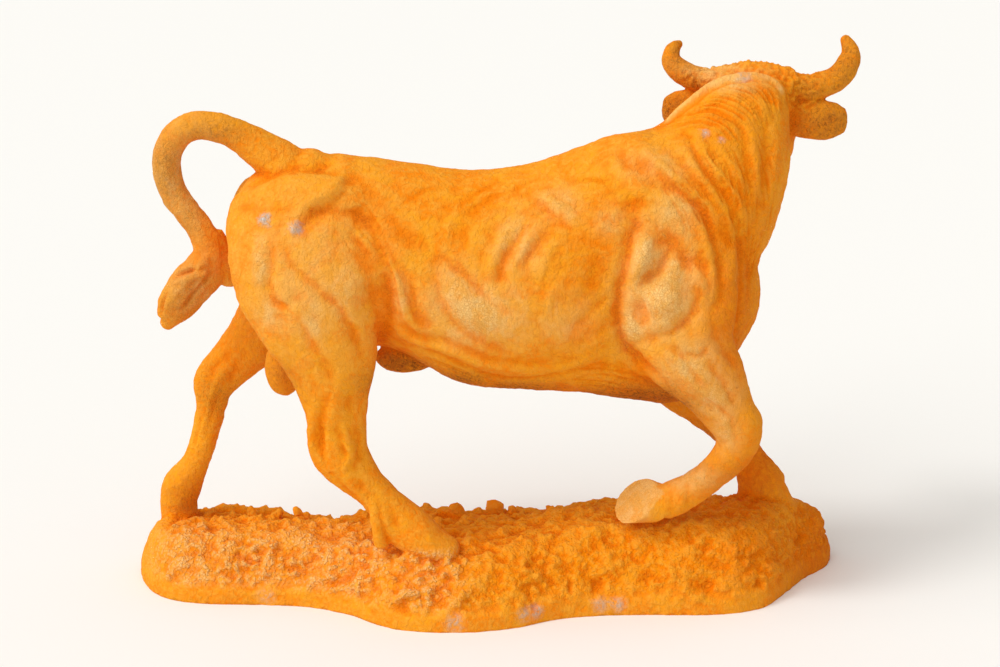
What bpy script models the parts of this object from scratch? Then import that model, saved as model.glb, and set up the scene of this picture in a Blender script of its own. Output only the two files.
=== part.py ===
"""A cast-iron bull on a piece of rough ground, poured as one casting.

The bull faces +X and turns its head away towards +Y. The ground's flat underside lies at Z = 0.
"""

import math

import bmesh
import bpy
import numpy as np
from mathutils import Matrix, Vector, noise

# Driving sizes, in millimetres
BULL_LENGTH = 431.0
GROUND_HEIGHT = 37.0
GROUND_RIM = 9.0
GROUND_MARGIN = 12.0
CLOD_HEIGHT = 3.0
CLOD_WIDTH = 17.0

# How finely the skin is drawn, in millimetres, and how many triangles stay
FLESH_GRAIN = 2.2
EARTH_GRAIN = 3.0
SKIN_GRAIN = 2.0
FACETS = 9600

MM = 0.001

# The pose, the muscles and the stance are drawn in millimetres for a bull and a ground of these sizes
DRAWN_LENGTH = 431.0
DRAWN_GROUND = 37.0
SCALE = BULL_LENGTH / DRAWN_LENGTH

# Trunk, from rump to breast: x, height of the back, height of the belly, half width
TRUNK = [
    (-160, 246, 200, 20),
    (-149, 262, 182, 33),
    (-130, 272, 162, 41),
    (-105, 275, 151, 45),
    (-80, 273.5, 147, 46),
    (-50, 269, 143, 49),
    (-20, 266, 135.5, 53),
    (15, 269, 131.5, 55),
    (50, 277, 128.5, 53),
    (80, 284.5, 123.5, 49),
    (105, 287, 121, 44),
    (128, 268, 132, 38),
    (146, 240, 156, 28),
]

# Limbs, from the body outwards: x, y and z of the middle, half depth from the side, half width across
NECK = [
    (36, 0, 218, 46, 36),
    (66, 0, 225, 57, 42),
    (92, 0, 230, 62, 43),
    (118, 4, 246, 54.5, 40),
    (135.5, 13, 269, 42, 36),
    (146, 27, 289, 33, 31),
    (154.5, 44, 299.5, 26.5, 27),
]
NEAR_HIND_LEG = [
    (-112, -26, 238, 42, 20),
    (-113, -33, 212, 46, 23),
    (-107, -37, 184, 38, 21),
    (-101, -38, 160, 29, 18),
    (-99, -38, 139, 22, 15),
    (-98.5, -37, 120, 19, 12.5),
    (-97, -36, 103, 19, 11.5),
    (-88.5, -36, 89, 15, 10.5),
    (-79, -36, 75.5, 13, 10),
    (-69, -36, 64, 13, 10.5),
    (-57, -36, 52, 14.5, 12.5),
    (-44, -36, 42, 12.5, 13.5),
    (-32, -36, 36, 9, 13),
]
FAR_HIND_LEG = [
    (-116, 24, 236, 38, 20),
    (-124, 31, 208, 38, 21),
    (-131, 33, 182, 31, 19),
    (-145, 32, 160, 22, 16),
    (-165, 31, 138, 15.5, 12.5),
    (-180, 30, 123, 14.5, 11),
    (-181, 30, 108, 10, 9),
    (-187, 30, 86, 8.8, 8.4),
    (-192.5, 30, 70, 9, 8.6),
    (-201, 30, 54, 12.5, 11),
    (-203, 30, 44, 11.5, 12),
    (-203, 30, 34, 11.5, 12.5),
]
NEAR_FORE_LEG = [
    (104, -34, 208, 36, 17),
    (107, -38, 182, 33, 17),
    (112, -39, 164, 28, 16.5),
    (123, -39, 147, 22, 15),
    (134, -38, 129, 17, 13.5),
    (143.5, -37, 115.5, 15.5, 13),
    (141, -36, 102.5, 12.5, 11.5),
    (131, -33, 89.5, 10.6, 9.5),
    (119, -29, 77.5, 10.6, 9),
    (107, -26, 68.5, 11.5, 10.5),
    (101, -25, 63, 11, 10.5),
]
FAR_FORE_LEG = [
    (88, 30, 190, 30, 17),
    (92, 32, 160, 28, 17),
    (104, 31, 130, 21, 16),
    (122, 30, 110.5, 16.5, 13.5),
    (141, 29, 95, 14, 13),
    (152, 29, 83.5, 12.5, 11),
    (158.5, 29, 73, 12.5, 11),
    (163.5, 29, 63, 14, 12.5),
    (166, 29, 55, 16, 14),
]
TAIL = [
    (-114, 0, 256, 14, 14),
    (-128, 0, 267.5, 14.5, 13.5),
    (-141, 0, 277.5, 12, 11),
    (-155, 0, 286.5, 9.6, 9.6),
    (-168, 0, 292, 8.8, 8.8),
    (-181, 0, 293, 8.7, 8.7),
    (-192, 0, 287.5, 8.8, 8.8),
    (-198.5, 0, 277, 9, 9),
    (-199, 0, 264, 8.9, 8.9),
    (-194, 0, 250, 8.4, 8.4),
    (-185.5, -1, 238, 8, 8),
    (-178, -2, 227, 8.4, 8.2),
    (-175, -3, 216, 9, 8.4),
]
TASSEL_LOCKS = [
    [(-176, -2, 220, 8, 7), (-181, -5, 209, 8.5, 8), (-190, -6, 200, 9, 8), (-198, -6, 191, 8, 7), (-205, -6, 182, 5, 4)],
    [(-173, -2, 212, 8, 8), (-179, -1, 196, 9.5, 8), (-188, 0, 183, 8.5, 7.5), (-197, 1, 172, 6, 5), (-201, 1, 167, 3, 3)],
    [(-174, 0, 226, 7, 7), (-170, 2, 211, 8.5, 8), (-166, 4, 195, 8, 7)],
]
RIGHT_HORN = [
    (168, 44, 308, 9, 9),
    (181, 42, 307.5, 8, 8),
    (192, 41, 308, 7.4, 7.4),
    (203, 42, 311.5, 6.9, 6.9),
    (211, 44, 318.5, 6.3, 6.3),
    (214.5, 47, 326.5, 5.4, 5.4),
    (213.5, 50, 333, 4.2, 4.2),
    (210.5, 52, 336.5, 3, 3),
]
LEFT_HORN = [
    (146, 52, 309, 9, 9),
    (134, 55, 308.5, 8, 8),
    (123, 58, 309.5, 7.4, 7.4),
    (113, 60, 313, 6.9, 6.9),
    (106.5, 63, 319, 6.3, 6.3),
    (105, 65, 325, 5.4, 5.4),
    (107.5, 67, 329.5, 4.2, 4.2),
    (111, 68, 332, 3, 3),
]
RIGHT_EAR = [
    (168, 42, 292, 6, 10),
    (181, 39, 289.5, 4.8, 11.5),
    (193, 38, 288.5, 4.4, 12.3),
    (203, 38, 288, 4, 11),
    (209, 39, 288, 3.4, 8),
]
LEFT_EAR = [
    (140, 52, 294, 6, 10),
    (128, 56, 292, 4.8, 11.5),
    (117, 58, 291, 4.4, 12.3),
    (107, 60, 290.5, 4, 11),
    (101, 62, 290.5, 3.4, 8),
]

# Muscles: start, end, half thickness, half width; mirrored to both sides, y is given for the far side
MUSCLES = [
    ((-140, 22, 248), (-82, 26, 246), 17, 22),
    ((-146, 24, 240), (-134, 30, 186), 18, 20),
    ((-96, 30, 232), (-92, 38, 176), 17, 19),
    ((84, 22, 268), (128, 34, 206), 15, 20),
    ((94, 40, 226), (98, 46, 174), 13, 17),
    ((128, 28, 226), (114, 38, 178), 15, 18),
    ((84, 38, 236), (82, 42, 196), 13, 12),
]

# Carving seen from the side: height, half width and the line; positive stands proud, negative is cut in
STROKES = [
    (2.6, 5.0, [(-88, 274), (-93, 266), (-103, 259), (-117, 253), (-126, 246)]),
    (-1.6, 3.5, [(-101, 274), (-116, 263), (-129, 254)]),
    (-3.0, 5.5, [(-117, 243), (-106, 250), (-90, 250), (-80, 240), (-71, 225)]),
    (-2.2, 4.0, [(-125, 229), (-116, 217), (-102, 204), (-88, 189), (-79, 175)]),
    (-2.4, 5.0, [(-145, 236), (-141, 212), (-133, 194), (-120, 178), (-116, 152)]),
    (-4.2, 6.0, [(-76, 230), (-69, 213), (-66, 198), (-68, 183), (-66, 166)]),
    (2.6, 5.0, [(-64, 239), (-56, 223), (-53, 204), (-51, 191), (-42, 180), (-30, 176)]),
    (1.5, 5.0, [(-28, 251), (-31, 236), (-35, 220)]),
    (1.7, 5.0, [(-9, 249), (-15, 232), (-20, 214)]),
    (1.9, 5.0, [(8, 245), (1, 229), (-4, 210)]),
    (1.9, 5.0, [(25, 243), (17, 225), (11, 206)]),
    (1.7, 5.0, [(41, 241), (34, 223), (28, 204)]),
    (1.4, 5.0, [(56, 238), (50, 220), (45, 202)]),
    (1.6, 4.0, [(23, 263), (35, 256), (48, 247), (58, 237)]),
    (-1.8, 5.0, [(-37, 200), (-29, 186), (-12, 177), (12, 169), (35, 169)]),
    (2.4, 4.0, [(-60, 172), (-35, 168), (-18, 162), (3, 156), (27, 155), (50, 160), (72, 166)]),
    (-4.2, 6.0, [(65, 262), (76, 244), (70, 225), (67, 206), (65, 193), (68, 178), (78, 165), (92, 150)]),
    (2.0, 6.0, [(82, 226), (80, 206), (78, 186)]),
    (-2.8, 5.0, [(97, 241), (99, 230), (93, 220), (85, 212), (77, 208)]),
    (-2.2, 4.5, [(82, 172), (97, 177), (108, 186), (113, 197)]),
    (2.8, 4.5, [(66, 287), (71, 282), (82, 274), (92, 264), (110, 257), (122, 243), (129, 223), (129, 204), (122, 189)]),
    (-2.6, 5.0, [(78, 294), (80, 286), (92, 277), (104, 268), (120, 261), (132, 245), (138, 223), (138, 202)]),
    (2.0, 5.0, [(88, 288), (98, 276), (112, 262)]),
    (2.0, 4.0, [(112, 296), (121, 278), (132, 261), (140, 243), (144, 222)]),
    (-2.0, 4.0, [(119, 296), (128, 278), (139, 261), (146, 243), (149, 222)]),
    (-1.6, 3.5, [(100, 166), (116, 151), (131, 133)]),
    (-1.4, 3.5, [(120, 168), (133, 154), (143, 139)]),
    (-1.8, 4.5, [(-100, 177), (-96, 155), (-94, 133), (-93, 111)]),
]

# How far the far legs are swung back from the near ones: height, hind shift, fore shift
SWING = [(60, -100, 20), (100, -90, 20), (140, -72, -8), (160, -55, -18), (183, -34, -16), (210, -17, -6), (240, 0, 0)]

# Line of the hooves' stance seen from above, anticlockwise; the ground's edge runs outside it
STANCE = [
    (-217, 26),
    (-213, 4),
    (-202, -14),
    (-180, -22),
    (-122, -26),
    (-88, -39),
    (-60, -60),
    (-28, -65),
    (2, -60),
    (34, -45),
    (76, -39),
    (124, -39),
    (152, -32),
    (172, -10),
    (188, 14),
    (200, 36),
    (188, 50),
    (120, 54),
    (30, 51),
    (-60, 47),
    (-150, 47),
    (-200, 45),
]
FORE_RISE = 14.0
BACK_FALL = 5.5
NEAR_SLOPE = 34.0
FAR_SLOPE = 15.0


def through(points, steps):
    """A smooth line of numbers through the given rows, steps to each stretch."""
    rows = np.asarray(points, float)
    ends = np.vstack([2 * rows[0] - rows[1], rows, 2 * rows[-1] - rows[-2]])
    line = []
    for k in range(len(rows) - 1):
        a, b, c, d = ends[k : k + 4]
        for t in np.arange(steps) / steps:
            bend = (2 * a - 5 * b + 4 * c - d) * t**2 + (3 * b - a - 3 * c + d) * t**3
            line.append(0.5 * (2 * b + (c - a) * t + bend))
    line.append(rows[-1])
    return np.array(line)


def skin(bm, rings):
    """Closes a row of rings of points into one shell, with a flat face at each end."""
    loops = [[bm.verts.new(p) for p in ring] for ring in rings]
    for low, high in zip(loops, loops[1:]):
        for k in range(len(low)):
            j = (k + 1) % len(low)
            bm.faces.new((low[k], low[j], high[j], high[k]))
    bm.faces.new(loops[0][::-1])
    bm.faces.new(loops[-1])


def limb(bm, stations, across=(0, 1, 0), sides=20, steps=3):
    """A tapering limb: rings set square to a smooth line, rounded off at both ends."""
    line = through(stations, steps)
    middles = line[:, :3]
    tangents = np.gradient(middles, axis=0)
    tangents /= np.linalg.norm(tangents, axis=1)[:, None]
    hint = np.asarray(across, float)
    angles = np.arange(sides) * 2 * math.pi / sides

    def ring(k, out, shrink):
        tangent = tangents[k]
        side = hint - (hint @ tangent) * tangent
        side /= np.linalg.norm(side)
        front = np.cross(side, tangent)
        middle = middles[k] + out * tangent
        depth, width = line[k, 3:5] * shrink
        return [middle + math.cos(a) * depth * front + math.sin(a) * width * side for a in angles]

    def cap(k, way):
        bulge = way * 0.8 * min(line[k, 3:5])
        return [ring(k, bulge * math.sin(a), math.cos(a)) for a in (0.35, 0.75, 1.1, 1.4)]

    last = len(line) - 1
    skin(bm, cap(0, -1)[::-1] + [ring(k, 0, 1) for k in range(last + 1)] + cap(last, 1))


def trunk(bm):
    """The barrel of the body: upright sections, narrower along the spine than at the belly."""
    spine_taper = 0.10
    angles = np.arange(32) * 2 * math.pi / 32
    rings = []
    for x, top, low, half in through(TRUNK, 3):
        z = (top + low) / 2
        depth = (top - low) / 2
        rings.append(
            [
                (x, math.sin(a) * half * (1 - spine_taper * math.cos(a)), z + math.cos(a) * depth)
                for a in angles
            ]
        )
    skin(bm, rings)


def ball(bm, middle, radii, along=(1, 0, 0), out=(0, 1, 0)):
    """An ellipsoid: its radii lie along its length, outwards and across."""
    x = Vector(along).normalized()
    y = Vector(out)
    y = (y - y.dot(x) * x).normalized()
    turn = Matrix((x, y, x.cross(y))).transposed().to_4x4()
    place = Matrix.Translation(middle) @ turn @ Matrix.Diagonal((*radii, 1))
    bmesh.ops.create_icosphere(bm, subdivisions=3, radius=1, matrix=place)


def muscle(bm, start, end, thick, wide):
    """A belly of muscle stretched between two points, facing outwards."""
    start, end = Vector(start), Vector(end)
    length = (end - start).length / 2 + wide * 0.5
    ball(bm, (start + end) / 2, (length, thick, wide), end - start, (0, math.copysign(1, end.y), 0))


HEAD_FORWARD = Vector((0.10, 0.77, -0.63)).normalized()
HEAD_RIGHT = Vector((1, -0.12, -0.06))
HEAD_RIGHT = (HEAD_RIGHT - HEAD_RIGHT.dot(HEAD_FORWARD) * HEAD_FORWARD).normalized()
HEAD_BROW = HEAD_RIGHT.cross(HEAD_FORWARD)
POLL = Vector((156, 47, 304))


def on_head(along, lift, right):
    """A point given along the head from the poll, above its middle line and to its right."""
    return POLL + along * HEAD_FORWARD + lift * HEAD_BROW + right * HEAD_RIGHT


def head(bm):
    """Skull, jaw and muzzle, hanging away from the photograph's side."""
    profile = [
        (-4, -4, 20, 25),
        (10, -9, 25, 27),
        (24, -12, 26, 27),
        (38, -12, 23, 24),
        (51, -11, 19.5, 19.5),
        (63, -10, 17.5, 18),
        (74, -10, 16, 18.5),
    ]
    stations = [(*on_head(along, lift, 0), depth, width) for along, lift, depth, width in profile]
    limb(bm, stations, across=tuple(HEAD_RIGHT))
    for side in (-1, 1):
        ball(bm, on_head(29, 4, side * 19), (12, 9, 8), HEAD_FORWARD, HEAD_RIGHT)
        ball(bm, on_head(24, -20, side * 16), (19, 9, 16), HEAD_FORWARD, HEAD_RIGHT)
        ball(bm, on_head(79, -4, side * 11), (8, 8, 7.5), HEAD_FORWARD, HEAD_RIGHT)
    ball(bm, on_head(77, -19, 0), (8, 13, 6.5), HEAD_FORWARD, HEAD_RIGHT)


def flesh():
    """Trunk, neck, head and legs with their main muscles."""
    bm = bmesh.new()
    trunk(bm)
    limb(bm, NECK, across=(-0.2, 1, 0), sides=28)
    head(bm)
    for leg in (NEAR_HIND_LEG, FAR_HIND_LEG, NEAR_FORE_LEG, FAR_FORE_LEG):
        limb(bm, leg)
    for start, end, thick, wide in MUSCLES:
        for side in (-1, 1):
            near = Vector((1, side, 1))
            muscle(bm, near * Vector(start), near * Vector(end), thick, wide)
    ball(bm, (121, 0, 190), (37, 34, 44))
    ball(bm, (124, 3, 218), (34, 31, 34))
    ball(bm, (128, 7, 240), (33, 32, 32))
    ball(bm, (106, 0, 146), (34, 26, 24))
    for side in (-1, 1):
        ball(bm, (-148, side * 16, 233), (15, 15, 26))
    ball(bm, (-56, 0, 148), (17, 8, 9.5))
    ball(bm, (-132, -2, 143.5), (12, 11, 19))
    return bm


def hoof(bm, coronet, sole, faces, toe, sizes):
    """A hoof as a short horn shoe: from the coronet to a flat sole that faces along the given line."""
    coronet, sole = Vector(coronet), Vector(sole)
    normal = Vector(faces).normalized()
    ahead = Vector(toe)
    ahead = (ahead - ahead.dot(normal) * normal).normalized()
    side = normal.cross(ahead)
    top, long, wide = sizes
    rings = []
    for share, grow in ((0.0, 0.75), (0.15, 1.0), (0.9, 1.0), (1.0, 0.93)):
        ring = []
        middle = coronet.lerp(sole, share)
        for k in range(24):
            a = k * math.pi / 12
            length = top + (long - top) * share
            width = top + (wide - top) * share
            ring.append(middle + grow * (math.cos(a) * length * ahead + math.sin(a) * width * side))
        rings.append(ring)
    skin(bm, rings)


def mesh_object(name, bm):
    """Puts the drawn shells into a new object of the scene."""
    mesh = bpy.data.meshes.new(name)
    bmesh.ops.recalc_face_normals(bm, faces=bm.faces)
    bm.to_mesh(mesh)
    bm.free()
    obj = bpy.data.objects.new(name, mesh)
    bpy.context.scene.collection.objects.link(obj)
    return obj


def fused(obj, grain, softness):
    """Melts an object's overlapping shells into one skin, softens it and returns the mesh."""
    melt = obj.modifiers.new("melt", "REMESH")
    melt.mode = "VOXEL"
    melt.voxel_size = grain
    soften = obj.modifiers.new("soften", "SMOOTH")
    soften.factor = 0.5
    soften.iterations = softness
    graph = bpy.context.evaluated_depsgraph_get()
    made = bpy.data.meshes.new_from_object(obj.evaluated_get(graph))
    bpy.data.objects.remove(obj)
    return made


def distance_to(line, x, z):
    """How far the points lie from a broken line, seen from the side."""
    best = np.full(len(x), np.inf)
    for (ax, az), (bx, bz) in zip(line, line[1:]):
        dx, dz = bx - ax, bz - az
        t = np.clip(((x - ax) * dx + (z - az) * dz) / (dx * dx + dz * dz), 0, 1)
        best = np.minimum(best, np.hypot(x - ax - t * dx, z - az - t * dz))
    return best


def carve(mesh):
    """Raises and cuts the muscles' edges, the ribs and the folds along the skin's normals."""
    count = len(mesh.vertices)
    points = np.empty(count * 3)
    mesh.vertices.foreach_get("co", points)
    points = points.reshape(-1, 3)
    normals = np.empty(count * 3)
    mesh.vertices.foreach_get("normal", normals)
    normals = normals.reshape(-1, 3)
    x, y, z = points.T
    heights, hind, fore = np.array(SWING, float).T
    swing = np.where(x < 0, np.interp(z, heights, hind), np.interp(z, heights, fore))
    x_near = np.where(y > 0, x - swing, x)
    outward = np.clip((normals[:, 1] * np.sign(y) - 0.2) * 2.5, 0, 1)
    lift = np.zeros(count)
    for height, width, line in STROKES:
        lift += height * np.exp(-((distance_to(line, x_near, z) / width) ** 2))
    points += normals * (lift * outward)[:, None]
    mesh.vertices.foreach_set("co", points.ravel())
    mesh.update()


def ground_edge():
    """The ground's edge: a smooth closed line outside the stance."""
    ring = STANCE[-1:] + STANCE + STANCE[:2]
    line = through(ring, 4)[4 : 4 * (len(STANCE) + 1)]
    ahead = np.roll(line, -1, axis=0) - np.roll(line, 1, axis=0)
    outward = np.stack([ahead[:, 1], -ahead[:, 0]], axis=1)
    outward /= np.linalg.norm(outward, axis=1)[:, None]
    return line * SCALE + outward * GROUND_MARGIN


def eased(value, low, high):
    """0 below low, 1 above high, with a soft run between."""
    t = min(1.0, max(0.0, (value - low) / (high - low)))
    return t * t * (3 - 2 * t)


def ground_level(x, y, near, gap):
    """Height of the earth at a place, from the near edge's y and the gap to the nearest edge."""
    hump = eased(x, -20 * SCALE, 90 * SCALE) * (1 - eased(y, 38 * SCALE, 60 * SCALE))
    hump = hump * (1 - eased(x, 172 * SCALE, 215 * SCALE))
    top = GROUND_HEIGHT + FORE_RISE * hump - BACK_FALL * eased(y, 15 * SCALE, 50 * SCALE)
    climb = math.sin(math.pi / 2 * min(1.0, max(0.0, (y - near) / NEAR_SLOPE)))
    bank = math.sin(math.pi / 2 * min(1.0, gap / FAR_SLOPE))
    return GROUND_RIM + (top - GROUND_RIM) * min(climb, bank)


def ground():
    """A mound of rough earth with a plain lip, drawn as rings from the edge inwards."""
    edge = ground_edge()
    middle = np.array([0.0, 8.0]) * SCALE
    near_side = edge[edge[:, 1] < middle[1]]
    near_side = near_side[np.argsort(near_side[:, 0])]
    below = 6.0
    rings = [[(*p, -below) for p in edge], [(*p, GROUND_RIM * 0.6) for p in edge]]
    for share in (0.995, 0.985, 0.97, 0.95, 0.92, 0.88, 0.83, 0.77, 0.7, 0.62, 0.54, 0.45, 0.36, 0.27, 0.18, 0.09):
        ring = []
        for p in edge:
            q = middle + (p - middle) * share
            near = np.interp(q[0], near_side[:, 0], near_side[:, 1])
            gap = (1 - share) * np.linalg.norm(p - middle)
            ring.append((*q, ground_level(*q, near, gap)))
        rings.append(ring)
    bm = bmesh.new()
    skin(bm, rings)
    earth = fused(mesh_object("earth", bm), EARTH_GRAIN, 4)
    for vertex in earth.vertices:
        rough = eased(vertex.co.z, GROUND_RIM, 2 * GROUND_RIM)
        at = vertex.co / CLOD_WIDTH
        lump = noise.noise(at) + 0.6 * noise.noise(at * 2.2)
        vertex.co += vertex.normal * (CLOD_HEIGHT * rough * lump)
    return earth


def bull():
    """Joins the bull, its fine parts and the ground, thins the skin and trims the underside flat."""
    body = fused(mesh_object("flesh", flesh()), FLESH_GRAIN, 10)
    carve(body)
    bm = bmesh.new()
    bm.from_mesh(body)
    limb(bm, TAIL)
    for lock in TASSEL_LOCKS:
        limb(bm, lock)
    limb(bm, RIGHT_HORN)
    limb(bm, LEFT_HORN)
    limb(bm, RIGHT_EAR, across=(0, 0, 1))
    limb(bm, LEFT_EAR, across=(0, 0, 1))
    hoof(bm, (99, -24, 60), (81.5, -23, 62), (-0.62, -0.26, 0.73), (-0.7, -0.2, -0.67), (12.5, 15, 12))
    hoof(bm, (166, 29, 58), (170, 29, 37), (0, 0, -1), (1, 0, 0), (14, 20, 15))
    for k in range(5):
        ball(bm, on_head(3 + abs(k - 2), 13 - k, (k - 1.7) * 9), (9, 6, 5), HEAD_RIGHT, HEAD_BROW)
    bmesh.ops.transform(
        bm,
        verts=bm.verts,
        matrix=Matrix.Translation((0, 0, GROUND_HEIGHT)) @ Matrix.Scale(SCALE, 4) @ Matrix.Translation((0, 0, -DRAWN_GROUND)),
    )
    bm.from_mesh(ground())
    skinned = fused(mesh_object("joined", bm), SKIN_GRAIN, 3)
    skinned.transform(Matrix.Scale(MM, 4))
    skinned.shade_smooth()
    part = bpy.data.objects.new("cast_bull", skinned)
    bpy.context.scene.collection.objects.link(part)
    thin = part.modifiers.new("thin", "DECIMATE")
    thin.ratio = FACETS / (2 * len(skinned.polygons))
    trim = part.modifiers.new("trim", "BOOLEAN")
    trim.operation = "DIFFERENCE"
    trim.solver = "EXACT"
    trim.object = floor_cutter()
    skinned.materials.append(rusted_iron())
    return part


def floor_cutter():
    """A block under Z = 0 that trims the casting flat."""
    half = BULL_LENGTH
    bm = bmesh.new()
    bmesh.ops.create_cube(bm, size=2 * half * MM, matrix=Matrix.Translation((0, 0, -half * MM)))
    cutter = mesh_object("floor_cutter", bm)
    cutter.hide_render = True
    cutter.display_type = "WIRE"
    return cutter


def rusted_iron():
    """Cast iron under a bright coat of rust."""
    material = bpy.data.materials.new("rusted_cast_iron")
    material.use_nodes = True
    shader = material.node_tree.nodes["Principled BSDF"]
    shader.inputs["Base Color"].default_value = (0.62, 0.22, 0.025, 1)
    shader.inputs["Roughness"].default_value = 0.72
    shader.inputs["Metallic"].default_value = 0.25
    return material


for old in list(bpy.data.objects):
    bpy.data.objects.remove(old)
bull()
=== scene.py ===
# %% [markdown]
# # A rusted cast-iron bull
#
# The real object is one iron casting about 45 cm long: a bull that strides over rough ground
# and turns its head away. A clay model left its shape in sand, iron was poured into the
# sand, and the casting then rusted to a bright powdery orange.
#
# This lesson follows the sculptor's order: the big masses, the muscles, lines drawn into the
# skin, hair and earth, and the colour last. Everything is drawn in millimetres, with the bull
# facing +X and the viewer on the -Y side, and the finished mesh is scaled to metres once.

import math

import bmesh
import bpy
import numpy as np
from mathutils import Matrix, Vector, noise
from mathutils.bvhtree import BVHTree


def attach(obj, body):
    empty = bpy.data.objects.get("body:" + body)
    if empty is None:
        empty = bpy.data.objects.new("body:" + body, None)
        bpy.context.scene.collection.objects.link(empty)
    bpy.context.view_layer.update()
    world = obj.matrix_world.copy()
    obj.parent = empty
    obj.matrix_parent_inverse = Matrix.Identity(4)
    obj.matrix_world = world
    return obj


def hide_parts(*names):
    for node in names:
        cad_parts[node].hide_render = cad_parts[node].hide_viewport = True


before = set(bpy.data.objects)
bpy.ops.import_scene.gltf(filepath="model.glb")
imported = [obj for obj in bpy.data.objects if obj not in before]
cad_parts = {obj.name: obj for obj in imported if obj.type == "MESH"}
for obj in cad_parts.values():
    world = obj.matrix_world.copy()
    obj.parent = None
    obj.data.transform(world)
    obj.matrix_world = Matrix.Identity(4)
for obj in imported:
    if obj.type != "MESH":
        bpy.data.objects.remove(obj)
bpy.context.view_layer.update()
MM = 0.001

# %% [markdown]
# ## Camera
#
# The photograph looks slightly down on the bull from well back, so the legs hardly splay in
# perspective. A long lens 1.4 m away and 17 degrees above the horizon gives the same picture:
# at that distance one pixel of the 1000 x 667 frame is 0.61 mm on the bull.

# %% Camera
ELEVATION = math.radians(17)
DISTANCE = 1.4
PIXEL = 0.609
LOOK_AT = Vector((0, 0, 0.164))
lens = bpy.data.cameras.new("camera")
lens.sensor_width = 36
lens.lens = 36 * DISTANCE / (1000 * PIXEL * MM)
camera = bpy.data.objects.new("camera", lens)
camera.location = LOOK_AT + DISTANCE * Vector((0, -math.cos(ELEVATION), math.sin(ELEVATION)))
camera.rotation_euler = (math.pi / 2 - ELEVATION, 0, 0)
bpy.context.scene.collection.objects.link(camera)
bpy.context.scene.camera = camera
print("lens", round(lens.lens, 1), "mm")

# %% [markdown]
# ## Floor and light
#
# The casting stands on white paper in a bright, nearly shadowless studio. One wide floor and a
# pale world give that light from all round. A wide soft lamp from the left and above makes the
# left of each form lighter than the right, as in the photograph, and a smaller lamp beside it
# gives the creases crisp edges. White paper is matt and scatters light evenly, so the floor
# needs no texture: it is one pale, rough colour.


# %% Floor and light
def linear(hex_colour):
    """An sRGB hex colour as the linear numbers that Blender counts in."""
    parts = [int(hex_colour[k : k + 2], 16) / 255 for k in (1, 3, 5)]
    return (*[c / 12.92 if c <= 0.04045 else ((c + 0.055) / 1.055) ** 2.4 for c in parts], 1)


def add(tree, kind, inputs=None, **settings):
    """Adds a node with its settings; each input takes a value or another node's socket."""
    node = tree.nodes.new(kind)
    for name, value in settings.items():
        setattr(node, name, value)
    for key, value in (inputs or {}).items():
        if isinstance(value, bpy.types.NodeSocket):
            tree.links.new(value, node.inputs[key])
        else:
            node.inputs[key].default_value = value
    return node


def plain_material(name, colour, roughness):
    """A plain matt surface of one colour."""
    material = bpy.data.materials.new(name)
    material.use_nodes = True
    shader = material.node_tree.nodes["Principled BSDF"]
    shader.inputs["Base Color"].default_value = linear(colour)
    shader.inputs["Roughness"].default_value = roughness
    return material


def wide_lamp(name, direction, strength, spread):
    """Even white light from one side of the room; the wider its spread, the softer its shadows."""
    light = bpy.data.lights.new(name, "SUN")
    light.energy = strength
    light.angle = math.radians(spread)
    lamp = bpy.data.objects.new(name, light)
    lamp.rotation_euler = Vector(direction).to_track_quat("-Z", "Y").to_euler()
    bpy.context.scene.collection.objects.link(lamp)


paper = bpy.data.meshes.new("paper_floor")
paper.from_pydata([(-8, -8, 0), (8, -8, 0), (8, 8, 0), (-8, 8, 0)], [], [(0, 1, 2, 3)])
floor = bpy.data.objects.new("paper_floor", paper)
paper.materials.append(plain_material("white_paper", "#F1F0EC", 0.95))
bpy.context.scene.collection.objects.link(floor)
wide_lamp("window", (0.7, 0.5, -0.9), 1.5, 60)
wide_lamp("lamp", (0.75, 0.35, -1.1), 0.85, 16)
world = bpy.data.worlds.new("pale_room")
world.use_nodes = True
world.node_tree.nodes["Background"].inputs["Color"].default_value = linear("#FFFDFA")
world.node_tree.nodes["Background"].inputs["Strength"].default_value = 0.57
bpy.context.scene.world = world
bpy.context.scene.view_settings.view_transform = "Standard"

# %% [markdown]
# ## Drawing tools
#
# Every mass is a shell: rings of points set square to a smooth line, closed at both ends. A
# sculptor would roll a sausage of clay and lay it on the wire. The rings could be Blender's own
# curves with a bevel, but then each ring could have only one radius, and a leg seen from the
# side is deeper than it is wide.


# %% Smooth lines, skins and limbs
def through(points, steps):
    """A smooth line of numbers through the given rows, steps to each stretch."""
    rows = np.asarray(points, float)
    ends = np.vstack([2 * rows[0] - rows[1], rows, 2 * rows[-1] - rows[-2]])
    line = []
    for k in range(len(rows) - 1):
        a, b, c, d = ends[k : k + 4]
        for t in np.arange(steps) / steps:
            bend = (2 * a - 5 * b + 4 * c - d) * t**2 + (3 * b - a - 3 * c + d) * t**3
            line.append(0.5 * (2 * b + (c - a) * t + bend))
    line.append(rows[-1])
    return np.array(line)


def skin(bm, rings):
    """Closes a row of rings of points into one shell, with a flat face at each end."""
    loops = [[bm.verts.new(p) for p in ring] for ring in rings]
    for low, high in zip(loops, loops[1:]):
        for k in range(len(low)):
            j = (k + 1) % len(low)
            bm.faces.new((low[k], low[j], high[j], high[k]))
    bm.faces.new(loops[0][::-1])
    bm.faces.new(loops[-1])


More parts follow.
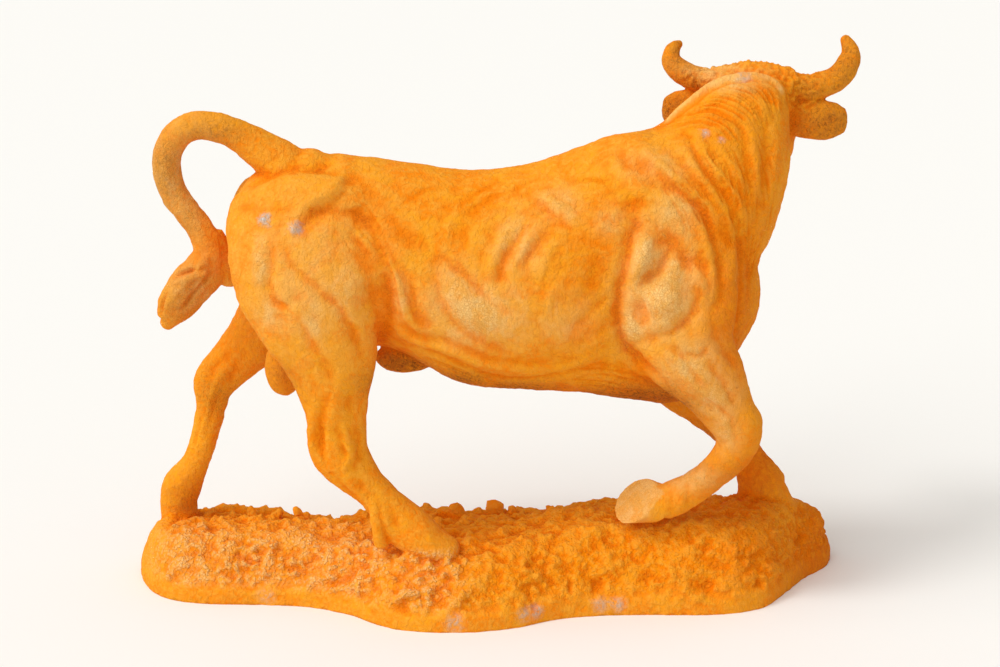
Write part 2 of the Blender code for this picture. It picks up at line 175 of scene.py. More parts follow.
def limb(bm, stations, across=(0, 1, 0), sides=24, steps=4):
    """A tapering limb: rings set square to a smooth line, rounded off at both ends."""
    line = through(stations, steps)
    middles = line[:, :3]
    tangents = np.gradient(middles, axis=0)
    tangents /= np.linalg.norm(tangents, axis=1)[:, None]
    hint = np.asarray(across, float)
    angles = np.arange(sides) * 2 * math.pi / sides

    def ring(k, out, shrink):
        tangent = tangents[k]
        side = hint - (hint @ tangent) * tangent
        side /= np.linalg.norm(side)
        front = np.cross(side, tangent)
        depth, width = line[k, 3:5] * shrink
        middle = middles[k] + out * tangent
        return [middle + math.cos(a) * depth * front + math.sin(a) * width * side for a in angles]

    def cap(k, way):
        bulge = way * 0.8 * min(line[k, 3:5])
        return [ring(k, bulge * math.sin(a), math.cos(a)) for a in (0.35, 0.75, 1.1, 1.4)]

    last = len(line) - 1
    skin(bm, cap(0, -1)[::-1] + [ring(k, 0, 1) for k in range(last + 1)] + cap(last, 1))


def ball(bm, middle, radii, along=(1, 0, 0), out=(0, 1, 0)):
    """An ellipsoid: its radii lie along its length, outwards and across."""
    x = Vector(along).normalized()
    y = Vector(out)
    y = (y - y.dot(x) * x).normalized()
    turn = Matrix((x, y, x.cross(y))).transposed().to_4x4()
    place = Matrix.Translation(middle) @ turn @ Matrix.Diagonal((*radii, 1))
    bmesh.ops.create_icosphere(bm, subdivisions=3, radius=1, matrix=place)


def mesh_object(name, bm):
    """Puts the drawn shells into a new object of the scene."""
    mesh = bpy.data.meshes.new(name)
    bmesh.ops.recalc_face_normals(bm, faces=bm.faces)
    bm.to_mesh(mesh)
    bm.free()
    obj = bpy.data.objects.new(name, mesh)
    bpy.context.scene.collection.objects.link(obj)
    return obj


def settled(obj):
    """The object's mesh with its modifiers worked in; the object itself goes."""
    graph = bpy.context.evaluated_depsgraph_get()
    mesh = bpy.data.meshes.new_from_object(obj.evaluated_get(graph))
    bpy.data.objects.remove(obj)
    return mesh


def fused(obj, grain, softness):
    """Melts an object's overlapping shells into one skin and softens it over some millimetres."""
    melt = obj.modifiers.new("melt", "REMESH")
    melt.mode = "VOXEL"
    melt.voxel_size = grain
    soften = obj.modifiers.new("soften", "SMOOTH")
    soften.factor = 0.5
    soften.iterations = max(1, round((softness / grain) ** 2))
    return settled(obj)


print("tools ready")

# %% [markdown]
# ## The masses
#
# The trunk is a barrel whose height changes from rump to breast, so it is given as a table of
# back line, belly line and half width. Neck and legs are tables of stations down their middle.
# The near legs and the far legs stand differently, as the bull is in mid-stride: the near hind
# foot is far under the belly and the near forefoot is just coming off the ground.

# %% Trunk, neck and legs
# x, height of the back, height of the belly, half width
TRUNK = [
    (-160, 246, 200, 20),
    (-149, 262, 182, 33),
    (-130, 272, 162, 41),
    (-105, 275, 154, 45),
    (-82, 273.5, 158, 46),
    (-62, 271, 156, 48),
    (-44, 268.5, 145.5, 50),
    (-20, 265.5, 134, 53),
    (15, 268.5, 131, 55),
    (50, 280.5, 128.5, 53),
    (64, 286, 126, 51),
    (80, 287.5, 123.5, 49),
    (105, 289, 121, 44),
    (128, 268, 132, 38),
    (146, 240, 156, 28),
]
# x, y and z of the middle, half depth seen from the side, half width across
NECK = [
    (36, 0, 218, 46, 36),
    (66, 0, 225, 57, 42),
    (92, 0, 231, 62, 43),
    (118, 4, 248, 55, 40),
    (135.5, 13, 269, 42, 36),
    (146, 27, 287, 31, 31),
    (154, 42, 295, 16, 25),
]
CREST = [
    (88, 3, 277, 12, 16),
    (102, 6, 283, 11, 15),
    (115, 12, 294.5, 11, 15),
    (128, 18, 304, 10, 15),
    (141, 22, 309, 10, 16),
    (153, 24, 309.5, 10, 15),
    (164, 26, 306, 9, 13),
]
# The roll of flesh between the horns that carries the curls
POLL_ROLL = [
    (124, 45, 311, 6, 7),
    (136, 45, 313.5, 7, 8),
    (149, 44, 315, 7.5, 9),
    (162, 43, 315.5, 7.5, 9),
    (174, 42, 312.5, 7, 9),
    (183, 40, 307, 6, 7),
]
NEAR_HIND_LEG = [
    (-112, -26, 238, 42, 20),
    (-113, -33, 212, 46, 23),
    (-107, -37, 184, 38, 21),
    (-101, -38, 160, 29, 18),
    (-99, -38, 139, 22, 15),
    (-97.5, -37, 120, 18, 12.5),
    (-97.5, -36, 103, 18.5, 11.5),
    (-89.5, -36, 89.5, 15, 10.5),
    (-78, -36, 76.5, 11.6, 10),
    (-67.5, -36, 65, 11.8, 10.5),
    (-56, -36, 52, 14.5, 12.5),
    (-44, -36, 42, 12.5, 13.5),
    (-32, -36, 36, 9, 13),
]
FAR_HIND_LEG = [
    (-116, 24, 236, 38, 20),
    (-124, 31, 208, 38, 21),
    (-131, 33, 182, 31, 19),
    (-145, 32, 160, 22, 16),
    (-165, 31, 138, 15.5, 12.5),
    (-179, 30, 123, 13.8, 11),
    (-181, 30, 108, 10, 9),
    (-187, 30, 86, 8.8, 8.4),
    (-192.5, 30, 70, 9, 8.6),
    (-202, 30, 54, 12.8, 11),
    (-204.5, 30, 44, 12, 12),
    (-204.5, 30, 34, 12, 12.5),
]
NEAR_FORE_LEG = [
    (104, -34, 208, 36, 17),
    (107, -38, 182, 33, 17),
    (113, -39, 164, 28.5, 16.5),
    (125, -39, 147, 22.5, 15),
    (135, -38, 129, 17, 13.5),
    (143, -37, 115, 15, 13),
    (141, -36, 101.5, 12.3, 11.5),
    (131.5, -33, 88, 10.4, 9.5),
    (119.5, -29, 76, 10.4, 9),
    (107.5, -26, 67.5, 11.4, 10.5),
    (101, -25, 63.5, 11, 10.5),
]
FAR_FORE_LEG = [
    (88, 30, 190, 30, 17),
    (92, 32, 160, 28, 17),
    (105, 31, 130, 19.5, 16),
    (124, 30, 111, 14.5, 13.5),
    (142, 29, 95, 12.5, 12.5),
    (151.5, 29, 83.5, 11, 11),
    (157, 29, 73, 11, 11),
    (162.5, 29, 63, 13.5, 12.5),
    (166, 29, 55, 16, 14),
]
# start, end, half thickness, half width; mirrored to both sides, y is given for the far side
MUSCLES = [
    ((-140, 22, 248), (-82, 26, 246), 17, 22),
    ((-146, 24, 240), (-134, 30, 186), 18, 20),
    ((-96, 30, 232), (-92, 38, 176), 17, 19),
    ((84, 22, 268), (128, 34, 206), 15, 20),
    ((94, 40, 226), (98, 46, 174), 13, 17),
    ((128, 28, 226), (114, 38, 178), 15, 18),
    ((84, 38, 236), (82, 42, 196), 13, 12),
]
LEGS = (NEAR_HIND_LEG, FAR_HIND_LEG, NEAR_FORE_LEG, FAR_FORE_LEG)
print("stations:", sum(len(table) for table in (TRUNK, NECK, *LEGS)))

# %% [markdown]
# ## The head
#
# The head points away from the viewer and down, so it gets its own three directions: forward to
# the muzzle, up out of the brow, and to the bull's right. Points given in those directions stay
# right however the head is turned.

# %% Head directions and masses
HEAD_FORWARD = Vector((0.10, 0.77, -0.63)).normalized()
HEAD_RIGHT = Vector((1, -0.12, -0.06))
HEAD_RIGHT = (HEAD_RIGHT - HEAD_RIGHT.dot(HEAD_FORWARD) * HEAD_FORWARD).normalized()
HEAD_BROW = HEAD_RIGHT.cross(HEAD_FORWARD)
POLL = Vector((156, 47, 304))


def on_head(along, lift, right):
    """A point given along the head from the poll, above its middle line and to its right."""
    return POLL + along * HEAD_FORWARD + lift * HEAD_BROW + right * HEAD_RIGHT


def head(bm):
    """Skull, brow, cheeks, bridge of the nose and muzzle."""
    profile = [
        (-4, -4, 20, 25),
        (10, -9, 25, 27),
        (24, -12, 26, 27),
        (38, -12, 23, 23),
        (51, -11, 19, 18.5),
        (63, -10, 17, 17.5),
        (74, -10, 16, 18.5),
    ]
    stations = [(*on_head(along, lift, 0), depth, width) for along, lift, depth, width in profile]
    limb(bm, stations, across=tuple(HEAD_RIGHT))
    # The bridge of the nose; brow, cheek, nostril and lip on both sides; the chin
    ball(bm, on_head(48, 4, 0), (26, 4.5, 9), HEAD_FORWARD, HEAD_BROW)
    for side in (-1, 1):
        ball(bm, on_head(26, 6, side * 18), (11, 8, 7), HEAD_FORWARD, HEAD_RIGHT)
        ball(bm, on_head(24, -20, side * 15), (19, 11, 16), HEAD_FORWARD, HEAD_RIGHT)
        ball(bm, on_head(78, -4, side * 11), (8, 8, 8), HEAD_FORWARD, HEAD_RIGHT)
        ball(bm, on_head(73, -15, side * 9), (9, 8, 7), HEAD_FORWARD, HEAD_RIGHT)
    ball(bm, on_head(76, -21, 0), (8, 12, 6.5), HEAD_FORWARD, HEAD_RIGHT)


print("muzzle at", [round(v) for v in on_head(85, -10, 0)])


# %% Flesh
# Breast, throat, neck, root of the tail, brisket, seat bones, sheath and scrotum: middle, radii
SOFT_FORMS = [
    ((121, 0, 190), (37, 34, 45)),
    ((124, 3, 218), (34, 31, 34)),
    ((130, 7, 241), (33.5, 32, 33)),
    ((-114, 0, 270), (14, 13, 9)),
    ((106, 0, 146), (34, 26, 24)),
    ((-148, -16, 233), (15, 15, 26)),
    ((-148, 16, 233), (15, 15, 26)),
    ((-58, -2, 149.5), (19, 9, 10)),
    ((-132, -2, 143.5), (12, 11, 19)),
]


def trunk(bm):
    """The barrel of the body: upright sections, narrower along the spine than at the belly."""
    angles = np.arange(40) * 2 * math.pi / 40
    rings = []
    for x, top, low, half in through(TRUNK, 4):
        z, depth = (top + low) / 2, (top - low) / 2
        ring = [(x, math.sin(a) * half * (1 - 0.1 * math.cos(a)), z + math.cos(a) * depth) for a in angles]
        rings.append(ring)
    skin(bm, rings)


def flesh():
    """Trunk, neck, head and legs with their main muscles."""
    bm = bmesh.new()
    trunk(bm)
    limb(bm, NECK, across=(-0.2, 1, 0), sides=32)
    limb(bm, CREST, across=(-0.2, 1, 0))
    limb(bm, POLL_ROLL)
    head(bm)
    for leg in LEGS:
        limb(bm, leg)
    for start, end, thick, wide in MUSCLES:
        for side in (-1, 1):
            near = Vector((1, side, 1))
            a, b = near * Vector(start), near * Vector(end)
            length = (b - a).length / 2 + wide * 0.5
            ball(bm, (a + b) / 2, (length, thick, wide), b - a, (0, side, 0))
    for middle, radii in SOFT_FORMS:
        ball(bm, middle, radii)
    return bm


GRAIN = 1.4
body = fused(mesh_object("flesh", flesh()), GRAIN, 6.5)
print("flesh:", len(body.vertices), "points")

# %% [markdown]
# ## Lines drawn into the skin
#
# A sculptor presses and raises the clay along lines: the hip bone, the fold of the flank, the
# ribs, the edge of the shoulder blade, the wrinkles of the neck. Each line here is seen from the
# side, as height or depth, half width and points (x, z) in millimetres. It is dropped on the
# skin along Y, and the skin then moves along its own normals, so a line bends round a form.
# The places were marked by eye on the enlarged photograph. A separate program turned them into
# millimetres, by the camera above and the part's own skin, and made all lines a little bolder.
#
# Sculpting by hand would be quicker to do but can't be repeated or changed by a number.

# %% The lines
RELIEF = {
    "rump": [
        (-1.8, 2.5, [(-147, 268), (-141, 268), (-132, 269), (-125, 274), (-119, 278)]),
        (2.0, 4.4, [(-94, 274), (-92, 269), (-95, 264), (-106, 258), (-115, 252), (-120, 245)]),
        (-1.8, 3.0, [(-101, 273), (-109, 269), (-117, 265), (-123, 257), (-127, 251), (-129, 245)]),
        (-2.0, 3.7, [(-88, 267), (-92, 259), (-102, 253), (-112, 248), (-116, 240)]),
        (2.0, 3.3, [(-139, 246), (-135, 245)]),
        (2.0, 3.5, [(-121, 242), (-118, 240)]),
    ],
    "thigh": [
        (-2.2, 3.7, [(-114, 239), (-106, 247), (-96, 250), (-85, 249), (-77, 243), (-71, 234), (-68, 224)]),
        (-3.1, 5.2, [(-68, 224), (-66, 210), (-65, 195), (-67, 179), (-71, 166)]),
        (-1.3, 1.6, [(-86, 236), (-81, 231), (-76, 225)]),
        (1.0, 1.8, [(-84, 238), (-78, 232), (-73, 226)]),
        (-2.6, 3.4, [(-125, 230), (-121, 222), (-113, 215), (-103, 206), (-94, 197), (-88, 187),
            (-83, 175), (-79, 161)]),
        (-1.8, 3.2, [(-129, 237), (-132, 226), (-134, 215), (-133, 205), (-128, 199), (-121, 197)]),
        (1.5, 5.5, [(-140, 231), (-142, 219), (-141, 208)]),
        (-1.4, 2.5, [(-139, 206), (-134, 200), (-127, 198), (-121, 201), (-116, 205)]),
        (1.2, 2.6, [(-127, 210), (-125, 203), (-120, 198), (-113, 191), (-107, 181)]),
        (1.8, 8.8, [(-90, 218), (-86, 208), (-86, 201)]),
        (-1.5, 3.4, [(-116, 188), (-111, 177), (-104, 165), (-99, 149)]),
        (1.3, 5.5, [(-136, 182), (-132, 169), (-124, 155)]),
        (-1.3, 2.8, [(-153, 197), (-157, 168), (-151, 157), (-142, 153)]),
    ],
    "flank": [
        (2.4, 3.3, [(-65, 221), (-60, 210), (-57, 198), (-54, 188), (-47, 180), (-38, 177)]),
        (-2.0, 3.4, [(-61, 225), (-55, 215), (-51, 204), (-48, 193), (-40, 184)]),
        (1.3, 3.3, [(-59, 232), (-54, 222)]),
        (-1.8, 6.9, [(-65, 244), (-58, 238), (-49, 233), (-40, 225)]),
        (-2.2, 3.9, [(-37, 221), (-37, 209), (-33, 197), (-26, 186), (-16, 178), (-2, 170), (11, 165)]),
        (1.8, 8.8, [(-28, 207), (-17, 196), (-3, 184)]),
        (-1.7, 3.4, [(-35, 226), (-23, 217), (-10, 204), (2, 194)]),
    ],
    "back": [
        (-0.9, 2.1, [(-56, 254), (-49, 257), (-41, 260)]),
        (-1.0, 2.3, [(-22, 253), (-15, 257), (-8, 260), (0, 263)]),
        (-0.9, 2.1, [(-18, 248), (-11, 252), (-4, 255)]),
        (-0.8, 2.1, [(7, 259), (15, 262), (24, 266)]),
    ],
    "ribs": [
        (1.8, 3.5, [(8, 242), (2, 236), (-2, 228), (-5, 219), (-6, 213)]),
        (-1.7, 3.0, [(14, 239), (8, 231), (3, 225), (1, 217), (-1, 211)]),
        (1.7, 3.3, [(24, 244), (17, 236), (12, 228), (8, 220), (6, 213)]),
        (-1.4, 3.0, [(28, 239), (22, 232), (17, 225), (14, 218)]),
        (1.4, 3.3, [(36, 238), (30, 231), (26, 223), (23, 215)]),
        (1.1, 3.5, [(-5, 247), (-12, 239), (-15, 229), (-16, 222)]),
        (1.1, 3.3, [(-26, 248), (-30, 240), (-31, 231)]),
        (-2.2, 8.0, [(58, 229), (56, 215), (54, 200)]),
        (1.0, 2.6, [(33, 211), (29, 201), (27, 193)]),
        (-1.1, 2.8, [(41, 182), (50, 190), (58, 197), (67, 205)]),
        (1.3, 2.9, [(46, 168), (56, 173), (65, 178), (70, 184)]),
    ],
    "blade": [
        (2.2, 2.9, [(23, 259), (30, 255), (38, 250), (45, 245)]),
        (-1.3, 2.8, [(21, 255), (28, 249), (36, 244), (42, 240)]),
        (-1.3, 1.8, [(44, 265), (54, 267), (65, 265)]),
        (2.0, 3.5, [(65, 251), (70, 249)]),
        (1.4, 3.3, [(58, 244), (62, 240)]),
        (-2.4, 5.8, [(75, 249), (78, 254), (86, 257)]),
    ],
    "belly": [
        (2.0, 3.3, [(-63, 182), (-57, 175), (-47, 171), (-35, 169), (-24, 165), (-9, 158), (6, 155),
            (24, 154)]),
        (-1.5, 3.0, [(-58, 181), (-47, 178), (-35, 175), (-22, 170), (-7, 164), (9, 161), (27, 161)]),
        (1.5, 3.1, [(27, 154), (41, 158), (54, 164), (66, 169)]),
        (-1.8, 3.0, [(-41, 166), (-28, 160), (-13, 152), (4, 147), (21, 148), (39, 152)]),
        (1.0, 2.2, [(-31, 157), (-18, 151), (-5, 142)]),
        (1.0, 2.2, [(36, 148), (53, 151), (72, 146)]),
        (-1.1, 2.3, [(50, 157), (65, 157), (80, 150), (90, 142)]),
        (1.1, 2.2, [(60, 144), (72, 141), (85, 139)]),
    ],
    "withers": [
        (1.8, 3.3, [(65, 283), (67, 277), (71, 272), (78, 269), (84, 264)]),
        (-2.4, 4.6, [(72, 286), (71, 282), (75, 277), (81, 274), (88, 268)]),
    ],
    "crest": [
        (2.4, 2.9, [(83, 285), (88, 280), (94, 275), (102, 269), (110, 262), (118, 255), (124, 246),
            (126, 238)]),
        (-2.0, 3.4, [(82, 279), (89, 274), (97, 268), (106, 262), (113, 254), (119, 244), (122, 236)]),
        (-2.0, 3.4, [(96, 284), (105, 277), (113, 269), (120, 261), (127, 252)]),
    ],
    "neck": [
        (-3.1, 3.0, [(111, 290), (114, 283), (118, 276), (124, 268), (131, 260), (136, 250), (140, 239)]),
        (1.8, 2.6, [(108, 287), (111, 280), (115, 273), (121, 265), (127, 257), (133, 247), (136, 236)]),
        (1.5, 2.2, [(116, 288), (120, 280), (126, 273), (133, 265), (139, 257), (143, 247)]),
        (-1.3, 2.1, [(120, 289), (124, 282), (130, 274), (136, 267), (142, 259), (146, 249)]),
        (1.1, 2.2, [(127, 288), (132, 279), (139, 270), (145, 260), (150, 247)]),
        (1.8, 2.6, [(117, 291), (118, 290)]),
        (1.8, 2.9, [(124, 293), (127, 293)]),
        (1.8, 3.3, [(146, 299), (148, 287), (150, 275), (152, 262), (152, 249)]),
        (-1.8, 3.4, [(141, 298), (144, 287), (145, 274), (147, 262), (147, 249)]),
        (1.5, 3.3, [(164, 297), (164, 285), (162, 273), (161, 261), (159, 248), (154, 235)]),
        (-1.5, 3.4, [(157, 298), (157, 286), (157, 274), (155, 262), (153, 249), (149, 235)]),
        (1.3, 3.3, [(134, 242), (137, 229), (137, 218), (136, 207)]),
        (-1.8, 3.9, [(141, 233), (143, 219), (143, 206), (142, 193)]),
    ],
    "chest": [
        (1.5, 4.4, [(141, 206), (138, 197), (136, 186)]),
    ],
    "shoulder": [
        (-3.1, 3.4, [(90, 265), (101, 263), (110, 258), (119, 249), (124, 238), (127, 227), (129, 215),
            (129, 202), (124, 192)]),
        (2.0, 3.3, [(94, 259), (105, 257), (112, 251), (118, 242), (121, 232), (124, 220), (124, 209),
            (122, 201)]),
        (1.4, 2.0, [(111, 221), (115, 216), (118, 209), (120, 203), (117, 198)]),
        (-1.4, 2.1, [(117, 225), (120, 217), (122, 209), (121, 201), (118, 194)]),
        (1.5, 5.5, [(95, 252), (100, 244), (105, 236), (110, 228)]),
        (-4.4, 4.6, [(98, 231), (96, 224), (91, 217), (84, 212), (79, 207)]),
        (2.4, 5.0, [(86, 237), (83, 228), (80, 219), (77, 209)]),
        (-3.7, 3.9, [(79, 244), (75, 231), (72, 219), (70, 205), (69, 192), (71, 179), (76, 168),
            (84, 160), (92, 153), (101, 143)]),
        (2.9, 8.8, [(93, 207), (95, 199), (93, 192)]),
        (2.2, 5.5, [(76, 189), (79, 180), (82, 173)]),
        (-1.5, 2.8, [(82, 202), (85, 193), (88, 185)]),
        (-2.4, 3.0, [(85, 175), (92, 179), (102, 183), (109, 189), (114, 197), (117, 205)]),
    ],
    "arm": [
        (-1.5, 2.1, [(96, 172), (103, 169), (109, 164), (113, 158), (118, 152), (125, 147)]),
        (1.2, 2.0, [(94, 169), (101, 165), (106, 160), (111, 153), (117, 146)]),
        (1.8, 5.0, [(117, 190), (119, 180), (124, 170), (131, 159)]),
        (-1.5, 2.8, [(124, 187), (127, 177), (133, 167), (140, 158), (144, 147)]),
        (-1.4, 2.8, [(112, 142), (121, 136), (128, 130)]),
        (1.3, 4.4, [(106, 157), (114, 147), (124, 139), (134, 135)]),
        (-1.2, 2.5, [(117, 177), (123, 166), (129, 156), (135, 146), (140, 137)]),
    ],
    "knee": [
        (1.1, 1.5, [(132, 126), (135, 121), (136, 114)]),
        (-1.0, 1.5, [(136, 127), (138, 121), (139, 113)]),
        (1.5, 5.0, [(147, 130), (150, 122), (148, 115)]),
        (1.0, 1.5, [(130, 104), (133, 101), (134, 94)]),
    ],
    "shin": [
        (1.1, 2.2, [(127, 101), (122, 93), (115, 86), (107, 79)]),
    ],
    "pastern": [
        (1.2, 1.8, [(97, 75), (99, 70), (100, 63)]),
        (-1.2, 1.7, [(101, 76), (104, 71), (104, 61)]),
        (1.1, 1.8, [(107, 79), (110, 72), (110, 64)]),
        (-1.0, 1.7, [(111, 81), (114, 74), (114, 65)]),
        (0.9, 1.7, [(93, 72), (94, 67), (92, 61)]),
    ],
    "shank": [
        (1.8, 2.4, [(-93, 125), (-92, 117), (-90, 109), (-88, 101)]),
        (-1.4, 2.1, [(-96, 123), (-95, 115), (-93, 107), (-91, 99)]),
        (1.3, 2.4, [(-90, 99), (-90, 93), (-88, 86)]),
        (-1.2, 2.1, [(-86, 119), (-84, 111), (-84, 103), (-83, 96)]),
        (1.5, 2.9, [(-109, 137), (-111, 126), (-113, 115), (-113, 105)]),
        (-1.8, 3.2, [(-103, 139), (-106, 128), (-107, 117), (-107, 107), (-104, 99)]),
        (-1.1, 2.8, [(-87, 143), (-89, 134), (-87, 126)]),
        (1.3, 4.4, [(-97, 149), (-97, 136), (-99, 123)]),
    ],
    "cannon": [
        (1.1, 2.6, [(-102, 95), (-92, 85), (-84, 76), (-77, 68)]),
        (-1.1, 2.5, [(-92, 91), (-84, 82), (-76, 73), (-70, 66)]),
    ],
    "fetlock": [
        (1.8, 2.9, [(-72, 69), (-70, 62), (-68, 53), (-67, 44)]),
        (-1.3, 2.8, [(-65, 68), (-63, 60), (-60, 51)]),
    ],
    "hoof": [
        (1.0, 2.2, [(-52, 51), (-45, 55), (-39, 38)]),
    ],
    "far shank": [
        (-2.2, 3.0, [(-166, 146), (-174, 139), (-179, 133), (-182, 125)]),
        (1.3, 2.2, [(-170, 134), (-177, 125), (-180, 116), (-183, 105), (-186, 94)]),
        (-1.1, 2.3, [(-176, 122), (-179, 111), (-182, 101), (-185, 89)]),
        (-1.0, 3.0, [(-157, 147), (-164, 136), (-169, 125)]),
    ],
    "far fetlock": [
        (1.4, 2.9, [(-209, 58), (-207, 54)]),
    ],
}
print("lines:", sum(len(lines) for lines in RELIEF.values()))

# %% [markdown]
# Sets of fine lines lie between two others: hair at the nape, creases across the neck, wrinkles
# under the belly. Each set is a height, a half width, a count and its first and last line.

# %% Fine sets of lines
STRANDS = [
    (1.3, 0.8, 6, [(103, 293), (118, 296), (130, 292), (137, 284)], [(114, 302), (128, 304),
        (141, 299), (149, 290)]),
    (1.4, 0.8, 6, [(117, 304), (130, 306), (143, 301), (150, 292)], [(126, 312), (140, 310),
        (150, 304), (155, 294)]),
    (1.3, 0.8, 6, [(129, 313), (143, 311), (152, 305), (156, 295)], [(141, 317), (151, 313),
        (157, 305), (160, 297)]),
    (1.2, 0.8, 5, [(145, 317), (154, 313), (159, 306), (161, 298)], [(158, 317), (164, 312),
        (166, 306), (166, 300)]),
    (-0.9, 0.9, 11, [(117, 283), (124, 272), (130, 255), (134, 237)], [(153, 289), (160, 272),
        (162, 251), (160, 229)]),
    (-0.8, 0.9, 7, [(90, 271), (98, 260), (106, 246), (111, 231)], [(104, 279), (114, 266), (121, 250),
        (125, 234)]),
    (-0.7, 1.0, 8, [(137, 240), (142, 224), (143, 206)], [(160, 236), (155, 222), (150, 206)]),
    (-0.8, 1.1, 5, [(-98, 260), (-79, 253), (-61, 222), (-50, 190)], [(-83, 241), (-69, 226),
        (-61, 204), (-54, 182)]),
    (-0.9, 1.0, 6, [(-44, 160), (-27, 155), (-8, 147)], [(-30, 150), (-12, 143), (8, 138)]),
    (-0.9, 1.0, 6, [(44, 154), (64, 153), (84, 146)], [(46, 142), (66, 139), (86, 133)]),
    (0.3, 1.0, 6, [(-4, 262), (8, 262), (20, 268)], [(-30, 246), (-16, 252), (-4, 262)]),
]
# Lines given in space: the rim of the hair over the nape, and the creases of the tail's lock
RIM = [
    (100, 7, 295),
    (107, 9, 302),
    (115, 11, 308),
    (123, 15, 313),
    (131, 18, 316),
    (140, 19, 318),
    (149, 20, 319),
    (157, 21, 318),
    (164, 22, 315),
    (168, 18, 311),
]
CREASES = [
    (-1.3, 1.6, [(-139, -9, 271), (-130, -13, 277), (-121, -10, 281), (-113, -3, 282)]),
    (1.2, 2.0, [(-134, -12, 268), (-126, -15, 273), (-116, -12, 277), (-108, -5, 278)]),
    (-2.6, 1.4, [(-197, -11, 203), (-186, -13, 207), (-175, -12, 209)]),
    (2.2, 1.8, [(-196, -12, 199), (-186, -14, 203), (-176, -13, 205)]),
    (-2.6, 1.4, [(-172, -11, 205), (-182, -12, 194), (-192, -10, 182)]),
    (-2.2, 1.3, [(-200, -12, 194), (-203, -11, 186), (-204, -9, 178)]),
]

# Tendons of the near hock, and creases over the near elbow and forearm: height, half width, line
LEG_LINES = [
    (1.6, 2.2, [(-97, 114), (-89, 105), (-93, 93), (-86, 84)]),
    (1.3, 2.4, [(-113, 124), (-113, 109), (-112, 98)]),
    (-1.5, 2.1, [(-106, 122), (-107, 107), (-104, 94)]),
    (-1.0, 2.0, [(-100, 89), (-91, 77), (-83, 66)]),
    (1.3, 2.0, [(97, 169), (114, 159), (128, 142)]),
    (-1.3, 1.7, [(103, 172), (117, 167), (124, 180)]),
    (-1.4, 1.7, [(111, 148), (124, 138), (137, 127)]),
    (-1.2, 1.7, [(121, 163), (131, 150), (139, 135)]),
    (-1.0, 1.4, [(-184, 109), (-190, 92), (-194, 78)]),
]


def between(first, last, count, chance):
    """Lines spread from the first to the last, each a little off its even place, as hair lies."""
    first, last = np.array(first, float), np.array(last, float)
    return [first + (last - first) * k / (count - 1) + chance.normal(0, 0.6, (1, 2)) for k in range(count)]


print("fine lines:", sum(row[2] for row in STRANDS))

# %% [markdown]
# The far legs are a stride apart from the near ones, so a mirrored line is first swung forward
# or back by an amount that grows towards the foot.


# %% Dropping the lines on the skin
# height, hind shift, fore shift
SWING = [
    (60, -100, 20),
    (100, -90, 20),
    (140, -72, -8),
    (160, -55, -18),
    (183, -34, -16),
    (210, -17, -6),
    (240, 0, 0),
]
NEAR_ONLY = ("neck", "crest", "chest", "pastern", "hoof", "far shank", "far fetlock")
SPAN = 150.0


def laid(tree, line, side):
    """A side-view line dropped on the skin: its points in space."""
    heights, hind, fore = np.array(SWING, float).T
    found = []
    for x, z in through(line, 4):
        if side > 0:
            x += np.interp(z, heights, hind if x < 0 else fore)
        hit = tree.ray_cast(Vector((x, SPAN * side, z)), Vector((0, -side, 0)))[0]
        if hit is not None and (not found or abs(hit.y - found[-1][1]) < 8):
            found.append(tuple(hit))
    return np.array(found)


def distance_to(line, points):
    """How far the points lie from a broken line in space, and where along it, from 0 to 1."""
    best = np.full(len(points), np.inf)
    place = np.zeros(len(points))
    for k, (a, b) in enumerate(zip(line, line[1:])):
        along = b - a
        t = np.clip((points - a) @ along / max(along @ along, 1e-9), 0, 1)
        gap = np.linalg.norm(points - a - t[:, None] * along, axis=1)
        closer = gap < best
        best[closer] = gap[closer]
        place[closer] = (k + t[closer]) / (len(line) - 1)
    return best, place


def arrays(mesh):
    """A mesh's points and normals as rows of numbers."""
    points = np.empty(len(mesh.vertices) * 3)
    mesh.vertices.foreach_get("co", points)
    normals = np.empty(len(mesh.vertices) * 3)
    mesh.vertices.foreach_get("normal", normals)
    return points.reshape(-1, 3), normals.reshape(-1, 3)


def carve(mesh, strokes):
    """Raises or cuts the skin along lines in space: height, half width, line. Strokes fade at both ends."""
    points, normals = arrays(mesh)
    lift = np.zeros(len(points))
    for height, width, line in strokes:
        if len(line) < 2:
            continue
        reach = 2.6 * width
        inside = (points > line.min(axis=0) - reach) & (points < line.max(axis=0) + reach)
        near = np.flatnonzero(inside.all(axis=1))
        gap, place = distance_to(line, points[near])
        fade = np.sin(math.pi * (0.06 + 0.88 * place)) ** 0.7
        lift[near] += height * fade * np.exp(-((gap / width) ** 2))
    points += normals * lift[:, None]
    mesh.vertices.foreach_set("co", points.ravel())
    mesh.update()


def skin_tree(mesh):
    """A search tree of the mesh for dropping lines on it."""
    points, _ = arrays(mesh)
    return BVHTree.FromPolygons(points.tolist(), [tuple(p.vertices) for p in mesh.polygons])


def on_skin(tree, points):
    """The skin's own points nearest to the given ones."""
    return np.array([tree.find_nearest(p)[0] for p in points])


tree = skin_tree(body)
strokes = []
for region, lines in RELIEF.items():
    for side in (-1,) if region in NEAR_ONLY else (-1, 1):
        strokes += [(height, width, laid(tree, line, side)) for height, width, line in lines]
carve(body, strokes)
chance = np.random.default_rng(5)
